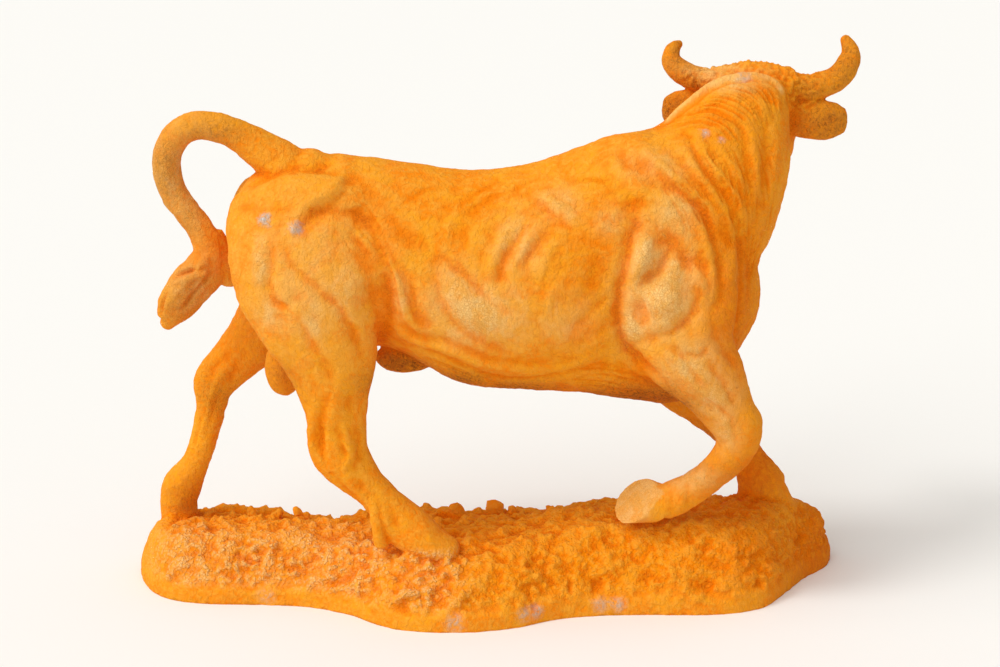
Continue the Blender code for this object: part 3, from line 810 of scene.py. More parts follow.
# The rim is a ridge with a groove a few millimetres under it
UNDER_RIM = (2.5, -4, -4.5)
ridge = through(on_skin(tree, RIM), 4)
groove = through(on_skin(tree, np.array(RIM) + UNDER_RIM), 4)
fine_strokes = [(2.4, 1.6, ridge), (-1.5, 1.7, groove)]
fine_strokes += [(height, width, through(line, 4)) for height, width, line in CREASES]
fine_strokes += [(height, width, laid(tree, line, -1)) for height, width, line in LEG_LINES]
for height, width, count, first, last in STRANDS:
    for line in between(first, last, count, chance):
        fine_strokes.append((height * chance.uniform(0.5, 1.3), width, laid(tree, line, -1)))
print("strokes:", len(strokes), "broad,", len(fine_strokes), "fine")

# %% [markdown]
# ## Face
#
# The photograph hides the face, so it is built as on any bull: brow ridges, heavy lids, comma
# nostrils, a long straight mouth and a dewlap of folds. Its lines are given along the head,
# above its middle line and to its right, and each is found again on the skin nearest to it.

# %% Face lines
FACE = [
    (-3.2, 2.2, [(19, 1, 24), (24, 6, 25), (31, 8, 24), (37, 5, 22)]),
    (2.4, 1.6, [(22, 1, 24), (26, 4, 25), (31, 5, 24), (36, 2, 22)]),
    (2.0, 1.5, [(23, -3, 25), (28, -6, 25), (34, -5, 23)]),
    (-2.4, 1.8, [(24, -9, 26), (31, -11, 24), (38, -9, 22)]),
    (-5.5, 2.6, [(80, -1, 13), (83, -3, 12), (84, -6, 9)]),
    (2.2, 1.7, [(75, 1, 15), (79, 4, 13), (83, 3, 9)]),
    (-3.2, 1.6, [(84, -14, 4), (80, -15, 12), (72, -17, 16), (62, -19, 17)]),
    (1.4, 2.2, [(56, 2, 14), (64, 0, 16), (72, -1, 17)]),
    (-1.2, 2.4, [(44, 2, 15), (54, -3, 18), (60, -8, 19)]),
    (-1.4, 3.0, [(36, -30, 14), (44, -26, 17), (50, -20, 18), (52, -12, 19)]),
    (1.0, 2.0, [(40, 7, 8), (52, 5, 8), (64, 3, 8)]),
]
face_strokes = []
for height, width, line in FACE:
    for side in (-1, 1):
        places = [on_head(along, lift, side * right) for along, lift, right in line]
        face_strokes.append((height, width, through(on_skin(tree, places), 3)))
carve(body, face_strokes)
print("face lines:", len(face_strokes))

# %% [markdown]
# ## Horns, ears, tail and hooves
#
# These have sharper edges than flesh, so they join after the masses were softened. The tail is
# a smooth rope of even thickness that ends in a wavy lock. The lock is built like real hair:
# thick strands first, then thinner ones winding along them.

# %% Tail and its lock
TAIL = [
    (-114, 0, 256, 14, 14),
    (-128, 0, 267.5, 14.5, 13.5),
    (-141, 0, 277.5, 12, 11),
    (-155, 0, 286.5, 9.6, 9.6),
    (-168, 0, 292, 8.8, 8.8),
    (-181, 0, 293, 8.7, 8.7),
    (-191.5, 0, 287, 8.7, 8.7),
    (-197.5, 0, 276.5, 8.6, 8.8),
    (-198.5, 0, 264, 8.6, 8.8),
    (-194, 0, 250, 8.4, 8.4),
    (-185.5, -1, 238, 8, 8),
    (-178, -2, 227, 8.4, 8.2),
    (-175, -3, 216, 9, 8.4),
]
TASSEL = [
    [(-175, -3, 216, 8, 8), (-182, -5, 207, 8.5, 8), (-190, -6, 198, 9, 8), (-198.5, -6, 187, 7.5, 7),
        (-203, -5, 178, 4.6, 4.6)],
    [(-174, -3, 212, 8, 8), (-182, -4, 200, 9, 8), (-191, -3, 188, 9, 8), (-198, -3, 177, 7, 6),
        (-202, -2, 171, 4.5, 4)],
    [(-173, -2, 214, 8, 8), (-176, -1, 201, 9, 8), (-184, 0, 190, 8, 7.5), (-192, 1, 180, 7, 6),
        (-197, 1, 174, 4.5, 4)],
    [(-173, 0, 224, 7, 7), (-168, 2, 210, 8, 8), (-164, 4, 198, 6.5, 6.5)],
]


def strands(bm, lock, count, turns):
    """Thin strands of hair that wind round a thick one."""
    line = through(lock, 3)
    for k in range(count):
        rows = []
        for n, (x, y, z, depth, width) in enumerate(line):
            a = 2 * math.pi * (k / count + turns * n / len(line))
            thin = 0.30 * min(depth, width) + 0.5
            off = (0.86 - 0.35 * n / len(line)) * depth
            middle = (x + off * math.cos(a) * 0.75, y + off * math.sin(a), z + off * math.cos(a) * 0.6)
            rows.append((*middle, thin, thin))
        limb(bm, rows, sides=8, steps=2)


def tail(bm):
    """The rope of the tail, its locks and the strands on them."""
    limb(bm, TAIL)
    for k, lock in enumerate(TASSEL):
        limb(bm, lock)
        strands(bm, lock, 7, 0.35 if k % 2 else -0.3)


print("locks:", len(TASSEL))

# %% Horns and ears
RIGHT_HORN = [
    (166, 44, 308, 10, 10),
    (181, 42, 307.5, 8.2, 8.2),
    (192, 41, 308.3, 8.2, 8.2),
    (202.5, 42, 312, 8, 8),
    (209.7, 44, 319, 7.6, 7.6),
    (213.2, 47, 326.3, 6.4, 6.4),
    (212.3, 50, 331.2, 4.8, 4.8),
    (210.3, 52, 335.2, 3.2, 3.2),
]
LEFT_HORN = [
    (147, 52, 309, 10, 10),
    (134, 55, 308.5, 8.2, 8.2),
    (123, 58, 309.5, 7.8, 7.8),
    (113.5, 60, 313, 7.4, 7.4),
    (106.6, 63, 318.5, 6.9, 6.9),
    (105.6, 65, 324, 5.8, 5.8),
    (107.5, 67, 328, 4.4, 4.4),
    (110.5, 68, 330, 2.9, 2.9),
]
RIGHT_EAR = [
    (168, 42, 292, 6, 10),
    (181, 39, 289.5, 4.8, 11.8),
    (193, 38, 288.5, 4.6, 12.6),
    (203, 38, 288, 4.2, 11.4),
    (209, 39, 288, 3.4, 8),
]
LEFT_EAR = [
    (140, 52, 294, 6, 10),
    (128, 56, 292, 4.8, 11.5),
    (117, 58, 291, 4.4, 12.3),
    (108, 60, 290.5, 4, 11),
    (103, 62, 290.5, 3.4, 8),
]
# The heel's flange on the near hind foot
HEEL = [(-78, -41, 79, 3, 4), (-76, -43, 69, 3.2, 4), (-74, -44, 57, 3.8, 4.5), (-72, -42, 44, 4.5, 5)]
# The sole of the raised near fore foot, and the way it faces
SOLE = (81.5, -24.5, 65)
SOLE_FACES = (-0.6, -0.42, 0.68)
# Coronet, sole, the way the sole faces, the way the toe points, and half sizes: coronet, length, width
NEAR_FORE_HOOF = ((99.5, -24, 61.5), SOLE, SOLE_FACES, (-0.7, -0.2, -0.67), (12.5, 16, 15))
FAR_FORE_HOOF = ((166, 29, 58), (170, 29, 37), (0, 0, -1), (1, 0, 0), (14, 20, 15))
# Along the head, above its middle line and to the side
EYE = (30, 0.5, 23.5)
print("horn tips at", RIGHT_HORN[-1][:3], LEFT_HORN[-1][:3])


# %% Hooves and eyes
def hoof(bm, coronet, sole, faces, toe, sizes):
    """A hoof as a short horn shoe: from the coronet to a flat sole that faces along the given line."""
    coronet, sole = Vector(coronet), Vector(sole)
    normal = Vector(faces).normalized()
    ahead = Vector(toe)
    ahead = (ahead - ahead.dot(normal) * normal).normalized()
    side = normal.cross(ahead)
    top, long, wide = sizes
    rings = []
    for share, grow in ((0.0, 0.75), (0.12, 1.0), (0.9, 1.02), (1.0, 0.96)):
        ring = []
        for a in np.arange(28) * math.pi / 14:
            length = top + (long - top) * share
            width = top + (wide - top) * share
            reach = math.cos(a) * length * ahead + math.sin(a) * width * side
            ring.append(coronet.lerp(sole, share) + grow * reach)
        rings.append(ring)
    skin(bm, rings)


def fine_parts(bm):
    """Everything that joins the flesh after it was softened."""
    tail(bm)
    limb(bm, RIGHT_HORN)
    limb(bm, LEFT_HORN)
    limb(bm, HEEL)
    limb(bm, RIGHT_EAR, across=(0, 0, 1))
    limb(bm, LEFT_EAR, across=(0, 0, 1))
    hoof(bm, *NEAR_FORE_HOOF)
    hoof(bm, *FAR_FORE_HOOF)
    for side in (-1, 1):
        along, lift, right = EYE
        ball(bm, on_head(along, lift, side * right), (6.2, 5.2, 5.2), HEAD_FORWARD, HEAD_RIGHT)


print("parts drawn")

# %% [markdown]
# ## Curls between the horns
#
# A bull wears a cap of tight curls over its poll and forehead. One small curl, a tube swept
# along a spiral, is scattered by Geometry Nodes over the part of the skin that an attribute
# marks, each turned at random about the skin's normal. Placing them by hand would be slow, and
# a bump texture would leave a smooth outline, which the photograph doesn't have.

# %% The one material, filled in later
iron = bpy.data.materials.new("rusted_iron_casting")
iron.use_nodes = True
print("material:", iron.name)


# %% Scattering with Geometry Nodes
def scatter_tree(name, piece, sizes):
    """A node tree that scatters a small piece over the skin where the attribute "where" allows."""
    tree = bpy.data.node_groups.new(name, "GeometryNodeTree")
    tree.is_modifier = True
    tree.interface.new_socket("Geometry", in_out="INPUT", socket_type="NodeSocketGeometry")
    for label, value in sizes.items():
        kind = "NodeSocketInt" if isinstance(value, int) else "NodeSocketFloat"
        tree.interface.new_socket(label, in_out="INPUT", socket_type=kind).default_value = value
    tree.interface.new_socket("Geometry", in_out="OUTPUT", socket_type="NodeSocketGeometry")
    given = add(tree, "NodeGroupInput").outputs
    where = add(tree, "GeometryNodeInputNamedAttribute", {"Name": "where"}, data_type="FLOAT")
    allowed = where.outputs["Attribute"]
    density = add(tree, "ShaderNodeMath", {0: allowed, 1: given["Density"]}, operation="MULTIPLY")
    points = add(
        tree,
        "GeometryNodeDistributePointsOnFaces",
        {"Mesh": given["Geometry"], "Density": density.outputs[0], "Seed": given["Seed"]},
    )
    turn = add(
        tree,
        "FunctionNodeRandomValue",
        {"Min": (-0.35, -0.35, 0), "Max": (0.35, 0.35, 2 * math.pi), "Seed": given["Seed"]},
        data_type="FLOAT_VECTOR",
    )
    turned = add(
        tree,
        "FunctionNodeRotateRotation",
        {"Rotation": points.outputs["Rotation"], "Rotate By": turn.outputs["Value"]},
        rotation_space="LOCAL",
    )
    sizes = {2: given["Smallest"], 3: given["Largest"], "Seed": given["Seed"]}
    scale = add(tree, "FunctionNodeRandomValue", sizes)
    placed = add(
        tree,
        "GeometryNodeInstanceOnPoints",
        {
            "Points": points.outputs["Points"],
            "Instance": piece(tree, given),
            "Rotation": turned.outputs[0],
            "Scale": scale.outputs[1],
        },
    )
    real = add(tree, "GeometryNodeRealizeInstances", {"Geometry": placed.outputs["Instances"]})
    dressed = add(tree, "GeometryNodeSetMaterial", {"Geometry": real.outputs["Geometry"], "Material": iron})
    add(tree, "NodeGroupOutput", {"Geometry": dressed.outputs["Geometry"]})
    return tree


def scattered(mesh, where, tree):
    """The pieces that the tree scatters over a copy of the mesh, as a plain mesh."""
    ground = mesh.copy()
    ground.attributes.new("where", "FLOAT", "POINT").data.foreach_set("value", where)
    carrier = bpy.data.objects.new("carrier", ground)
    bpy.context.scene.collection.objects.link(carrier)
    carrier.modifiers.new("scatter", "NODES").node_group = tree
    return settled(carrier)


# %% Curls
def curl(tree, given):
    """A tube of hair swept along a flat spiral."""
    spiral = add(
        tree,
        "GeometryNodeCurveSpiral",
        {"Resolution": 10, "Rotations": 1.1, "Start Radius": 0.7, "End Radius": 2.6, "Height": -2.4},
    )
    profile = add(tree, "GeometryNodeCurvePrimitiveCircle", {"Resolution": 6, "Radius": 1.3})
    swept = add(
        tree,
        "GeometryNodeCurveToMesh",
        {"Curve": spiral.outputs["Curve"], "Profile Curve": profile.outputs["Curve"], "Fill Caps": True},
    )
    return swept.outputs["Mesh"]


def curly(mesh):
    """Where curls grow: 1 on the roll between the horns and down the forehead, 0 elsewhere."""
    points, normals = arrays(mesh)
    offset = points - np.array(POLL)
    along, lift, right = (offset @ np.array(way) for way in (HEAD_FORWARD, HEAD_BROW, HEAD_RIGHT))
    wide = 24 - 0.35 * np.clip(along, 0, 40)
    up = normals @ np.array(HEAD_BROW)
    forehead = (along > -12) & (along < 30) & (np.abs(right) < wide) & (lift > 2) & (up > 0.1)
    gap, _ = distance_to(np.array(POLL_ROLL)[:, :3], points)
    roll = (gap < 15) & (points[:, 1] > 23) & (normals[:, 2] > -0.3)
    return (forehead | roll).astype(float)


curls = scattered(
    body,
    curly(body),
    scatter_tree("curls_on_the_poll", curl, {"Density": 0.06, "Smallest": 0.8, "Largest": 1.35, "Seed": 4}),
)
print("curls:", len(curls.polygons), "faces")

# %% [markdown]
# ## The ground
#
# The bull's feet need a floor to pour into, so the casting includes a piece of earth. Its edge
# is a plain lip, its near side slopes, and its top is crumbly. It is drawn as rings that step
# inwards from the edge. Each ring's height follows the distance from the edge.

# %% The mound
# The hooves' stance seen from above, anticlockwise
STANCE = [
    (-217, 26),
    (-213, 4),
    (-202, -14),
    (-180, -22),
    (-122, -26),
    (-88, -39),
    (-60, -60),
    (-28, -65),
    (2, -60),
    (34, -45),
    (76, -39),
    (124, -39),
    (152, -32),
    (168.5, -10),
    (183.5, 14),
    (200, 34),
    (194, 50),
    (120, 54),
    (30, 51),
    (-60, 47),
    (-150, 47),
    (-200, 45),
]
# Height of the top and of the lip, how far the edge lies outside the stance, how much higher
# the top is under the breast and how much lower at the back
GROUND_HEIGHT = 37.0
GROUND_RIM = 9.0
GROUND_MARGIN = 11.3
FORE_RISE = 13.0
BACK_FALL = 4.5
# Where the far side dips: middle, reach and depth
BACK_DIPS = [(-110, 38, 6.0), (38, 34, 4.0)]
# How far in from the edge the slopes reach the top, on the near side and elsewhere
NEAR_SLOPE = 34.0
FAR_SLOPE = 15.0
# The mound's rings, each as a share of the edge's distance from the middle
RIM_SHARES = (0.995, 0.985, 0.97, 0.95, 0.92, 0.88, 0.83)
RING_SHARES = (*RIM_SHARES, 0.77, 0.7, 0.62, 0.54, 0.45, 0.36, 0.27, 0.18, 0.09)


def eased(value, low, high):
    """0 below low, 1 above high, with a soft run between."""
    t = min(1.0, max(0.0, (value - low) / (high - low)))
    return t * t * (3 - 2 * t)


def ground_edge():
    """The ground's edge: a smooth closed line outside the stance."""
    ring = STANCE[-1:] + STANCE + STANCE[:2]
    line = through(ring, 5)[5 : 5 * (len(STANCE) + 1)]
    ahead = np.roll(line, -1, axis=0) - np.roll(line, 1, axis=0)
    outward = np.stack([ahead[:, 1], -ahead[:, 0]], axis=1)
    outward /= np.linalg.norm(outward, axis=1)[:, None]
    return line + outward * GROUND_MARGIN


def plateau(x, y):
    """Height of the earth's top, away from its edges."""
    dips = sum(depth * math.exp(-(((x - middle) / reach) ** 2)) for middle, reach, depth in BACK_DIPS)
    hump = eased(x, -20, 90) * (1 - eased(y, 38, 60)) * (1 - 0.65 * eased(x, 172, 208))
    return GROUND_HEIGHT + FORE_RISE * hump - (BACK_FALL + dips) * eased(y, 8, 38)


def ground_level(x, y, near, gap):
    """Height of the earth at a place, from the near edge's y and the gap to the nearest edge."""
    top = plateau(x, y)
    climb = math.sin(math.pi / 2 * min(1.0, max(0.0, (y - near) / NEAR_SLOPE)))
    bank = math.sin(math.pi / 2 * min(1.0, gap / FAR_SLOPE))
    return GROUND_RIM + (top - GROUND_RIM) * min(climb, bank)


def mound(bm):
    """The ground without its clods."""
    edge = ground_edge()
    middle = np.array([0.0, 8.0])
    near_side = edge[edge[:, 1] < middle[1]]
    near_side = near_side[np.argsort(near_side[:, 0])]
    rings = [[(*p, -6.0) for p in edge], [(*p, GROUND_RIM * 0.6) for p in edge]]
    for share in RING_SHARES:
        ring = []
        for p in edge:
            q = middle + (p - middle) * share
            near = np.interp(q[0], near_side[:, 0], near_side[:, 1])
            gap = (1 - share) * np.linalg.norm(p - middle)
            ring.append((*q, ground_level(*q, near, gap)))
        rings.append(ring)
    skin(bm, rings)


earth_bm = bmesh.new()
mound(earth_bm)
earth = fused(mesh_object("earth", earth_bm), GRAIN, 4.0)
print("earth:", len(earth.vertices), "points")

# %% [markdown]
# The crumbly top has three sizes of roughness, as crumbled soil has: slow lumps as wide as a
# thumb, angular crumbs a few millimetres wide, and loose clods. Noise gives the lumps. Voronoi
# cells give the crumbs: each cell stands at its own height and has a crack round it. The clods
# are scattered by the same kind of tree as the curls.

# %% Lumps, crumbs and clods
# In millimetres; the crack round a crumb is a share of the crumb's width
LUMP_WIDTH, LUMP_HEIGHT = 17.0, 3.0
CRUMB_WIDTH, CRUMB_HEIGHT, CRUMB_BED, CRACK_SHARE = 4.8, 4.2, 1.4, 0.28


def crumbly(point):
    """How rough the earth is there, from 0 to 1: smooth at the lip and on the left end's wall."""
    return eased(point.z, 0.7 * GROUND_RIM, 1.6 * GROUND_RIM) * eased(point.x, -222, -200)


def rough_up(mesh):
    """Breaks the earth's top into lumps, and the lumps into crumbs of unequal height."""
    points, normals = arrays(mesh)
    amounts = np.zeros(len(points))
    for k, p in enumerate(points):
        at = Vector(p)
        amounts[k] = crumbly(at)
        if amounts[k] > 0:
            lump = noise.noise(at / LUMP_WIDTH) + 0.6 * noise.noise(at * 2.2 / LUMP_WIDTH)
            gaps, middles = noise.voronoi(at / CRUMB_WIDTH)
            inside = min(1.0, (gaps[1] - gaps[0]) / CRACK_SHARE)
            tall = noise.cell(middles[0] * 8.3)
            crumb = CRUMB_HEIGHT * max(tall, 0.0) ** 1.5 * inside - CRUMB_BED
            # Flatter towards the breast
            broken = 1 - 0.25 * eased(at.x, -70, 60)
            points[k] += normals[k] * amounts[k] * (LUMP_HEIGHT * lump + broken * crumb)
    mesh.vertices.foreach_set("co", points.ravel())
    mesh.update()
    return amounts


def clod(tree, given):
    """An angular crumb of earth."""
    lump = add(tree, "GeometryNodeMeshIcoSphere", {"Radius": 1.0, "Subdivisions": 2})
    wobble = add(tree, "ShaderNodeTexNoise", {"Scale": 1.3, "Detail": 1.0}, noise_dimensions="3D")
    shift = add(
        tree, "ShaderNodeVectorMath", {0: wobble.outputs["Color"], 1: (0.5, 0.5, 0.5)}, operation="SUBTRACT"
    )
    bent = add(tree, "ShaderNodeVectorMath", {0: shift.outputs["Vector"], "Scale": 1.6}, operation="SCALE")
    offset = bent.outputs["Vector"]
    moved = add(tree, "GeometryNodeSetPosition", {"Geometry": lump.outputs["Mesh"], "Offset": offset})
    return moved.outputs["Geometry"]


def knocked(bm, place, radius, chance):
    """A bigger clod with flat faces, knocked out of round."""
    for vertex in bmesh.ops.create_icosphere(bm, subdivisions=1, radius=radius)["verts"]:
        vertex.co = vertex.co * chance.uniform(0.6, 1.2) + Vector(place)


amounts = rough_up(earth)
clods = scattered(
    earth,
    amounts,
    scatter_tree(
        "clods_on_the_ground", clod, {"Density": 0.02, "Smallest": 0.6, "Largest": 1.9, "Seed": 11}
    ),
)
# The bigger clods that stand up along the back edge: place and radius
BIG_CLODS = [
    (-184, 36, 33, 3.5),
    (-159, 36, 33, 5),
    (-141, 36, 33, 3.5),
    (-130, 36, 34, 4.5),
    (-124, 37, 31, 3),
    (-38, 36, 34, 3.5),
    (-27, 34, 35, 6.5),
    (-18, -8, 35, 4),
    (-3, 36, 36, 7),
    (8, 36, 35, 4),
    (31, 37, 36, 2.5),
    (55, 36, 38, 3),
    (71, 36, 40, 3),
    (141, 36, 43, 3),
    (190, 36, 36, 5),
    (202, 28, 29, 5),
]
print("clods:", len(clods.polygons), "faces")

# %% [markdown]
# ## One casting
#
# Bull, horns, curls, earth and clods overlap. A voxel remesh melts them into one skin with
# small fillets where they meet, which is also how molten iron fills a mould. A Boolean union
# would keep knife-sharp joints. The fine lines and the flat sole go in afterwards, because the
# remesh would blur them, and a light noise gives the skin the unevenness of modelled clay.

# %% Join and melt
joined = bmesh.new()
joined.from_mesh(body)
fine_parts(joined)
for *place, radius in BIG_CLODS:
    knocked(joined, place, radius, chance)
for extra in (curls, earth, clods):
    joined.from_mesh(extra)
SKIN_GRAIN = 1.05
casting = fused(mesh_object("joined", joined), SKIN_GRAIN, 1.0)
print("casting:", len(casting.vertices), "points")

# %% Flat sole, fine lines and clay unevenness
# The melting rounds the sole's edge, so the flat face lies a little further in
SOLE_DEPTH, SOLE_REACH = 1.5, 21


def beyond_sole(points):
    """How far points near the raised foot's sole stand beyond its plane, and the way it faces."""
    away = points - np.array(SOLE)
    faces = np.array(SOLE_FACES) / np.linalg.norm(SOLE_FACES)
    near = np.linalg.norm(away, axis=1) < SOLE_REACH
    return np.where(near, away @ faces + SOLE_DEPTH, -100), faces


def press_flat(mesh):
    """Presses what stands beyond the sole's plane back onto it: a flat face with a crisp edge."""
    points, _ = arrays(mesh)
    beyond, faces = beyond_sole(points)
    points -= np.maximum(beyond, 0)[:, None] * faces
    mesh.vertices.foreach_set("co", points.ravel())
    mesh.update()


carve(casting, fine_strokes)


# The widths of the unevenness, from slow to sharp, how far each moves the skin, and how much
# more the sharpest one moves it in the curls
HAND_WIDTHS = (14, 6, 2.6)
SLOW_HEIGHT, QUICK_HEIGHT, SMALL_HEIGHT = 0.45, 0.45, 0.22
CURL_HEIGHT = 1.5


def hand_worked(mesh):
    """A shallow unevenness all over, as on clay worked by hand, and a sharper one in the curls."""
    points, normals = arrays(mesh)
    hairy = curly(mesh)
    for k, p in enumerate(points):
        at = Vector(p)
        slow, quick, small = (noise.noise(at / width) for width in HAND_WIDTHS)
        sharp = (SMALL_HEIGHT + CURL_HEIGHT * hairy[k]) * small
        points[k] += normals[k] * (SLOW_HEIGHT * slow + QUICK_HEIGHT * quick + sharp)
    mesh.vertices.foreach_set("co", points.ravel())
    mesh.update()


hand_worked(casting)
press_flat(casting)
print("fine lines cut")

# %% [markdown]
# The mesh now has far more faces than the form needs. Decimate keeps them where the skin bends
# and drops them where it is flat. The underside is then cut flat, so the casting stands.

# %% Thin and trim
MOST_TRIANGLES = 190000
thinned = bpy.data.objects.new("thinned", casting)
bpy.context.scene.collection.objects.link(thinned)
thin = thinned.modifiers.new("thin", "DECIMATE")
thin.ratio = min(1.0, MOST_TRIANGLES / (2 * len(casting.polygons)))
mesh = settled(thinned)
bm = bmesh.new()
bm.from_mesh(mesh)
everything = bm.verts[:] + bm.edges[:] + bm.faces[:]
bmesh.ops.bisect_plane(bm, geom=everything, plane_co=(0, 0, 0), plane_no=(0, 0, -1), clear_outer=True)
rim = [e for e in bm.edges if e.is_boundary]
bmesh.ops.triangle_fill(bm, edges=rim, use_beauty=True, normal=(0, 0, -1))
bmesh.ops.recalc_face_normals(bm, faces=bm.faces)
open_edges = sum(1 for e in bm.edges if not e.is_manifold)
bm.to_mesh(mesh)
bm.free()
mesh.name = "bull_casting"
print("triangles:", sum(len(p.vertices) - 2 for p in mesh.polygons), "open edges:", open_edges)

# %% [markdown]
# ## Where rust lies deep, where handling thins it, and where light and shade are painted
#
# Colour follows shape: rust is deep orange in hollows, and handling rubs raised places pale. The
# deepest creases are also darkened, as painted shade. So the skin is compared with a smoother copy
# of itself. Where the skin lies under the copy it is a hollow, and where it stands over it, it is
# raised. Both are kept as attributes of the mesh, which the material reads. So are soft oval
# patches, given as seen from the side, where the photograph shows the rust thinned by handling,
# old and red, or brown. The thin tan patches also carry a painted sheen, and the red and brown
# ones painted shade on the shadowed side, under the belly and in recesses. Painting a texture by
# hand would follow the photograph more closely, but the patches can be moved by changing a number.


# %% Measuring hollows
def relaxed(points, edges, rounds):
    """The points after each moved to its neighbours' mean that many times."""
    count = np.maximum(np.bincount(edges.ravel(), minlength=len(points)), 1)
    for _ in range(rounds):
        sums = [
            np.bincount(edges[:, 0], points[edges[:, 1], k], len(points))
            + np.bincount(edges[:, 1], points[edges[:, 0], k], len(points))
            for k in range(3)
        ]
        points = np.stack(sums, axis=1) / count[:, None]
    return points


def keep(mesh, name, values):
    """Stores one number for each point of the mesh."""
    stored = mesh.attributes.new(name, "FLOAT", "POINT")
    stored.data.foreach_set("value", np.clip(values, 0, 1).astype(np.float32))


def patches(table, x, z):
    """How strongly soft oval patches, seen from the side, cover each point."""
    cover = np.zeros(len(x))
    for px, pz, rx, rz, strength in table:
        cover = np.maximum(cover, strength * np.exp(-(((x - px) / rx) ** 2 + ((z - pz) / rz) ** 2)))
    return cover


points, normals = arrays(mesh)
edges = np.empty(len(mesh.edges) * 2, int)
mesh.edges.foreach_get("vertices", edges)
edges = edges.reshape(-1, 2)
# How far the skin lies under a copy of itself that is smoother by a little, and by much
FINE_ROUNDS, BROAD_ROUNDS = 4, 45
fine = ((relaxed(points, edges, FINE_ROUNDS) - points) * normals).sum(axis=1)
broad = ((relaxed(points, edges, BROAD_ROUNDS) - points) * normals).sum(axis=1)
for name, depths in (("fine", fine), ("broad", broad)):
    print(name, "relief in mm:", np.percentile(depths, (2, 50, 98)).round(2))

# %% Patches of thin rust with a painted sheen, and of red and brown rust with painted shade
# x, z, reach along x, reach along z, strength
RUBBED_AND_SHEEN = [
    (93, 207, 19, 24, 1.0),
    (84, 228, 8, 16, 0.8),
    (101, 246, 12, 14, 0.6),
    (79, 184, 8, 14, 0.9),
    (112, 160, 16, 16, 0.6),
    (126, 142, 14, 14, 0.6),
    (-14, 192, 26, 18, 0.8),
    (-26, 206, 12, 14, 0.6),
    (-58, 202, 5, 14, 0.5),
    (-109, 190, 10, 16, 0.5),
    (-138, 222, 6, 16, 0.6),
    (-134, 192, 9, 10, 0.5),
    (-90, 206, 12, 18, 0.45),
    (-110, 214, 40, 40, 0.25),
    (134, 118, 8, 12, 0.6),
    (112, 84, 18, 8, 0.5),
    (80, 66, 8, 14, 0.9),
    (10, 232, 14, 16, 0.4),
    (35, 253, 12, 8, 0.5),
    (64, 246, 8, 8, 0.4),
    (92, 275, 20, 8, 0.35),
    (36, 188, 14, 14, 0.35),
    (-190, 262, 24, 34, 0.35),
    (-182, 196, 22, 22, 0.3),
    (134, 317, 22, 5, 0.5),
]
# The same for older, redder rust, and for painted shade on the shadowed right end,
# behind the elbow and between the legs
RED_RUST_AND_SHADE = [
    (138, 185, 22, 60, 0.7),
    (160, 75, 32, 36, 0.9),
    (205, 15, 34, 34, 0.9),
    (160, 30, 34, 18, 0.6),
    (50, 200, 16, 44, 0.35),
    (-66, 216, 8, 40, 0.35),
    (30, 134, 60, 9, 0.5),
    (94, 130, 26, 12, 0.9),
    (-132, 140, 16, 14, 0.4),
    (-160, 160, 14, 24, 0.4),
    (-186, 196, 10, 30, 0.4),
    (-176, 216, 6, 14, 0.6),
    (-195, 50, 12, 16, 0.5),
    (150, 250, 14, 60, 0.4),
    (178, 285, 8, 12, 0.7),
    (134, 292, 26, 16, 0.3),
]
# The same for thin brown rust that lets the dark iron through, and for painted shade
# under the belly, inside the thigh and on the far hind leg
BROWN_RUST_AND_SHADE = [
    (208, 322, 18, 22, 0.6),
    (188, 308, 14, 10, 0.55),
    (110, 322, 14, 18, 0.6),
    (126, 309, 14, 9, 0.7),
    (200, 288, 18, 14, 0.8),
    (106, 291, 16, 12, 0.8),
    (-24, 142, 20, 10, 0.9),
    (8, 136, 28, 9, 0.9),
    (84, 130, 32, 13, 1.0),
    (104, 132, 12, 8, 1.0),
    (60, 130, 16, 7, 1.0),
    (100, 138, 10, 10, 0.7),
    (-58, 147, 22, 9, 1.0),
    (-199, 266, 12, 26, 0.7),
    (-170, 290, 22, 9, 0.5),
    (-186, 238, 10, 14, 0.5),
    (-186, 190, 22, 24, 0.4),
    (-178, 118, 14, 16, 0.4),
    (-200, 42, 14, 14, 0.4),
    (-132, 146, 12, 16, 0.4),
    (116, 88, 30, 10, 0.35),
]
# Ground patches where crumb tops get a painted highlight, at the lit end: x, y, reach
LIT_EARTH = [(-185, -20, 28), (-150, -25, 24), (-110, -25, 30), (-85, -35, 24), (-45, -55, 20)]
# Bare metal: the highest knobs, the rim of the hair and chips along the lip; x, y, z, radius, share
BARE = [
    (-137, -40, 246, 4, 1.0),
    (-119, -44, 241, 4.5, 1.0),
    (120, -16, 291, 3, 0.9),
    (129, -18, 287, 2.6, 0.8),
    (145, 18, 318, 5, 0.5),
    (22, -63, 8, 5, 0.6),
    (14, -65, 7, 5, 0.5),
    (-27, -76, 6, 6, 0.5),
    (61, -51, 7, 5, 0.5),
    (72, -51, 7, 5, 0.5),
    (-144, -38, 6, 6, 0.4),
]
for name, table in (("rubbed_and_sheen", RUBBED_AND_SHEEN), ("red_rust_and_shade", RED_RUST_AND_SHADE), ("brown_rust_and_shade", BROWN_RUST_AND_SHADE), ("bare", BARE)):
    print(name, "patches:", len(table))

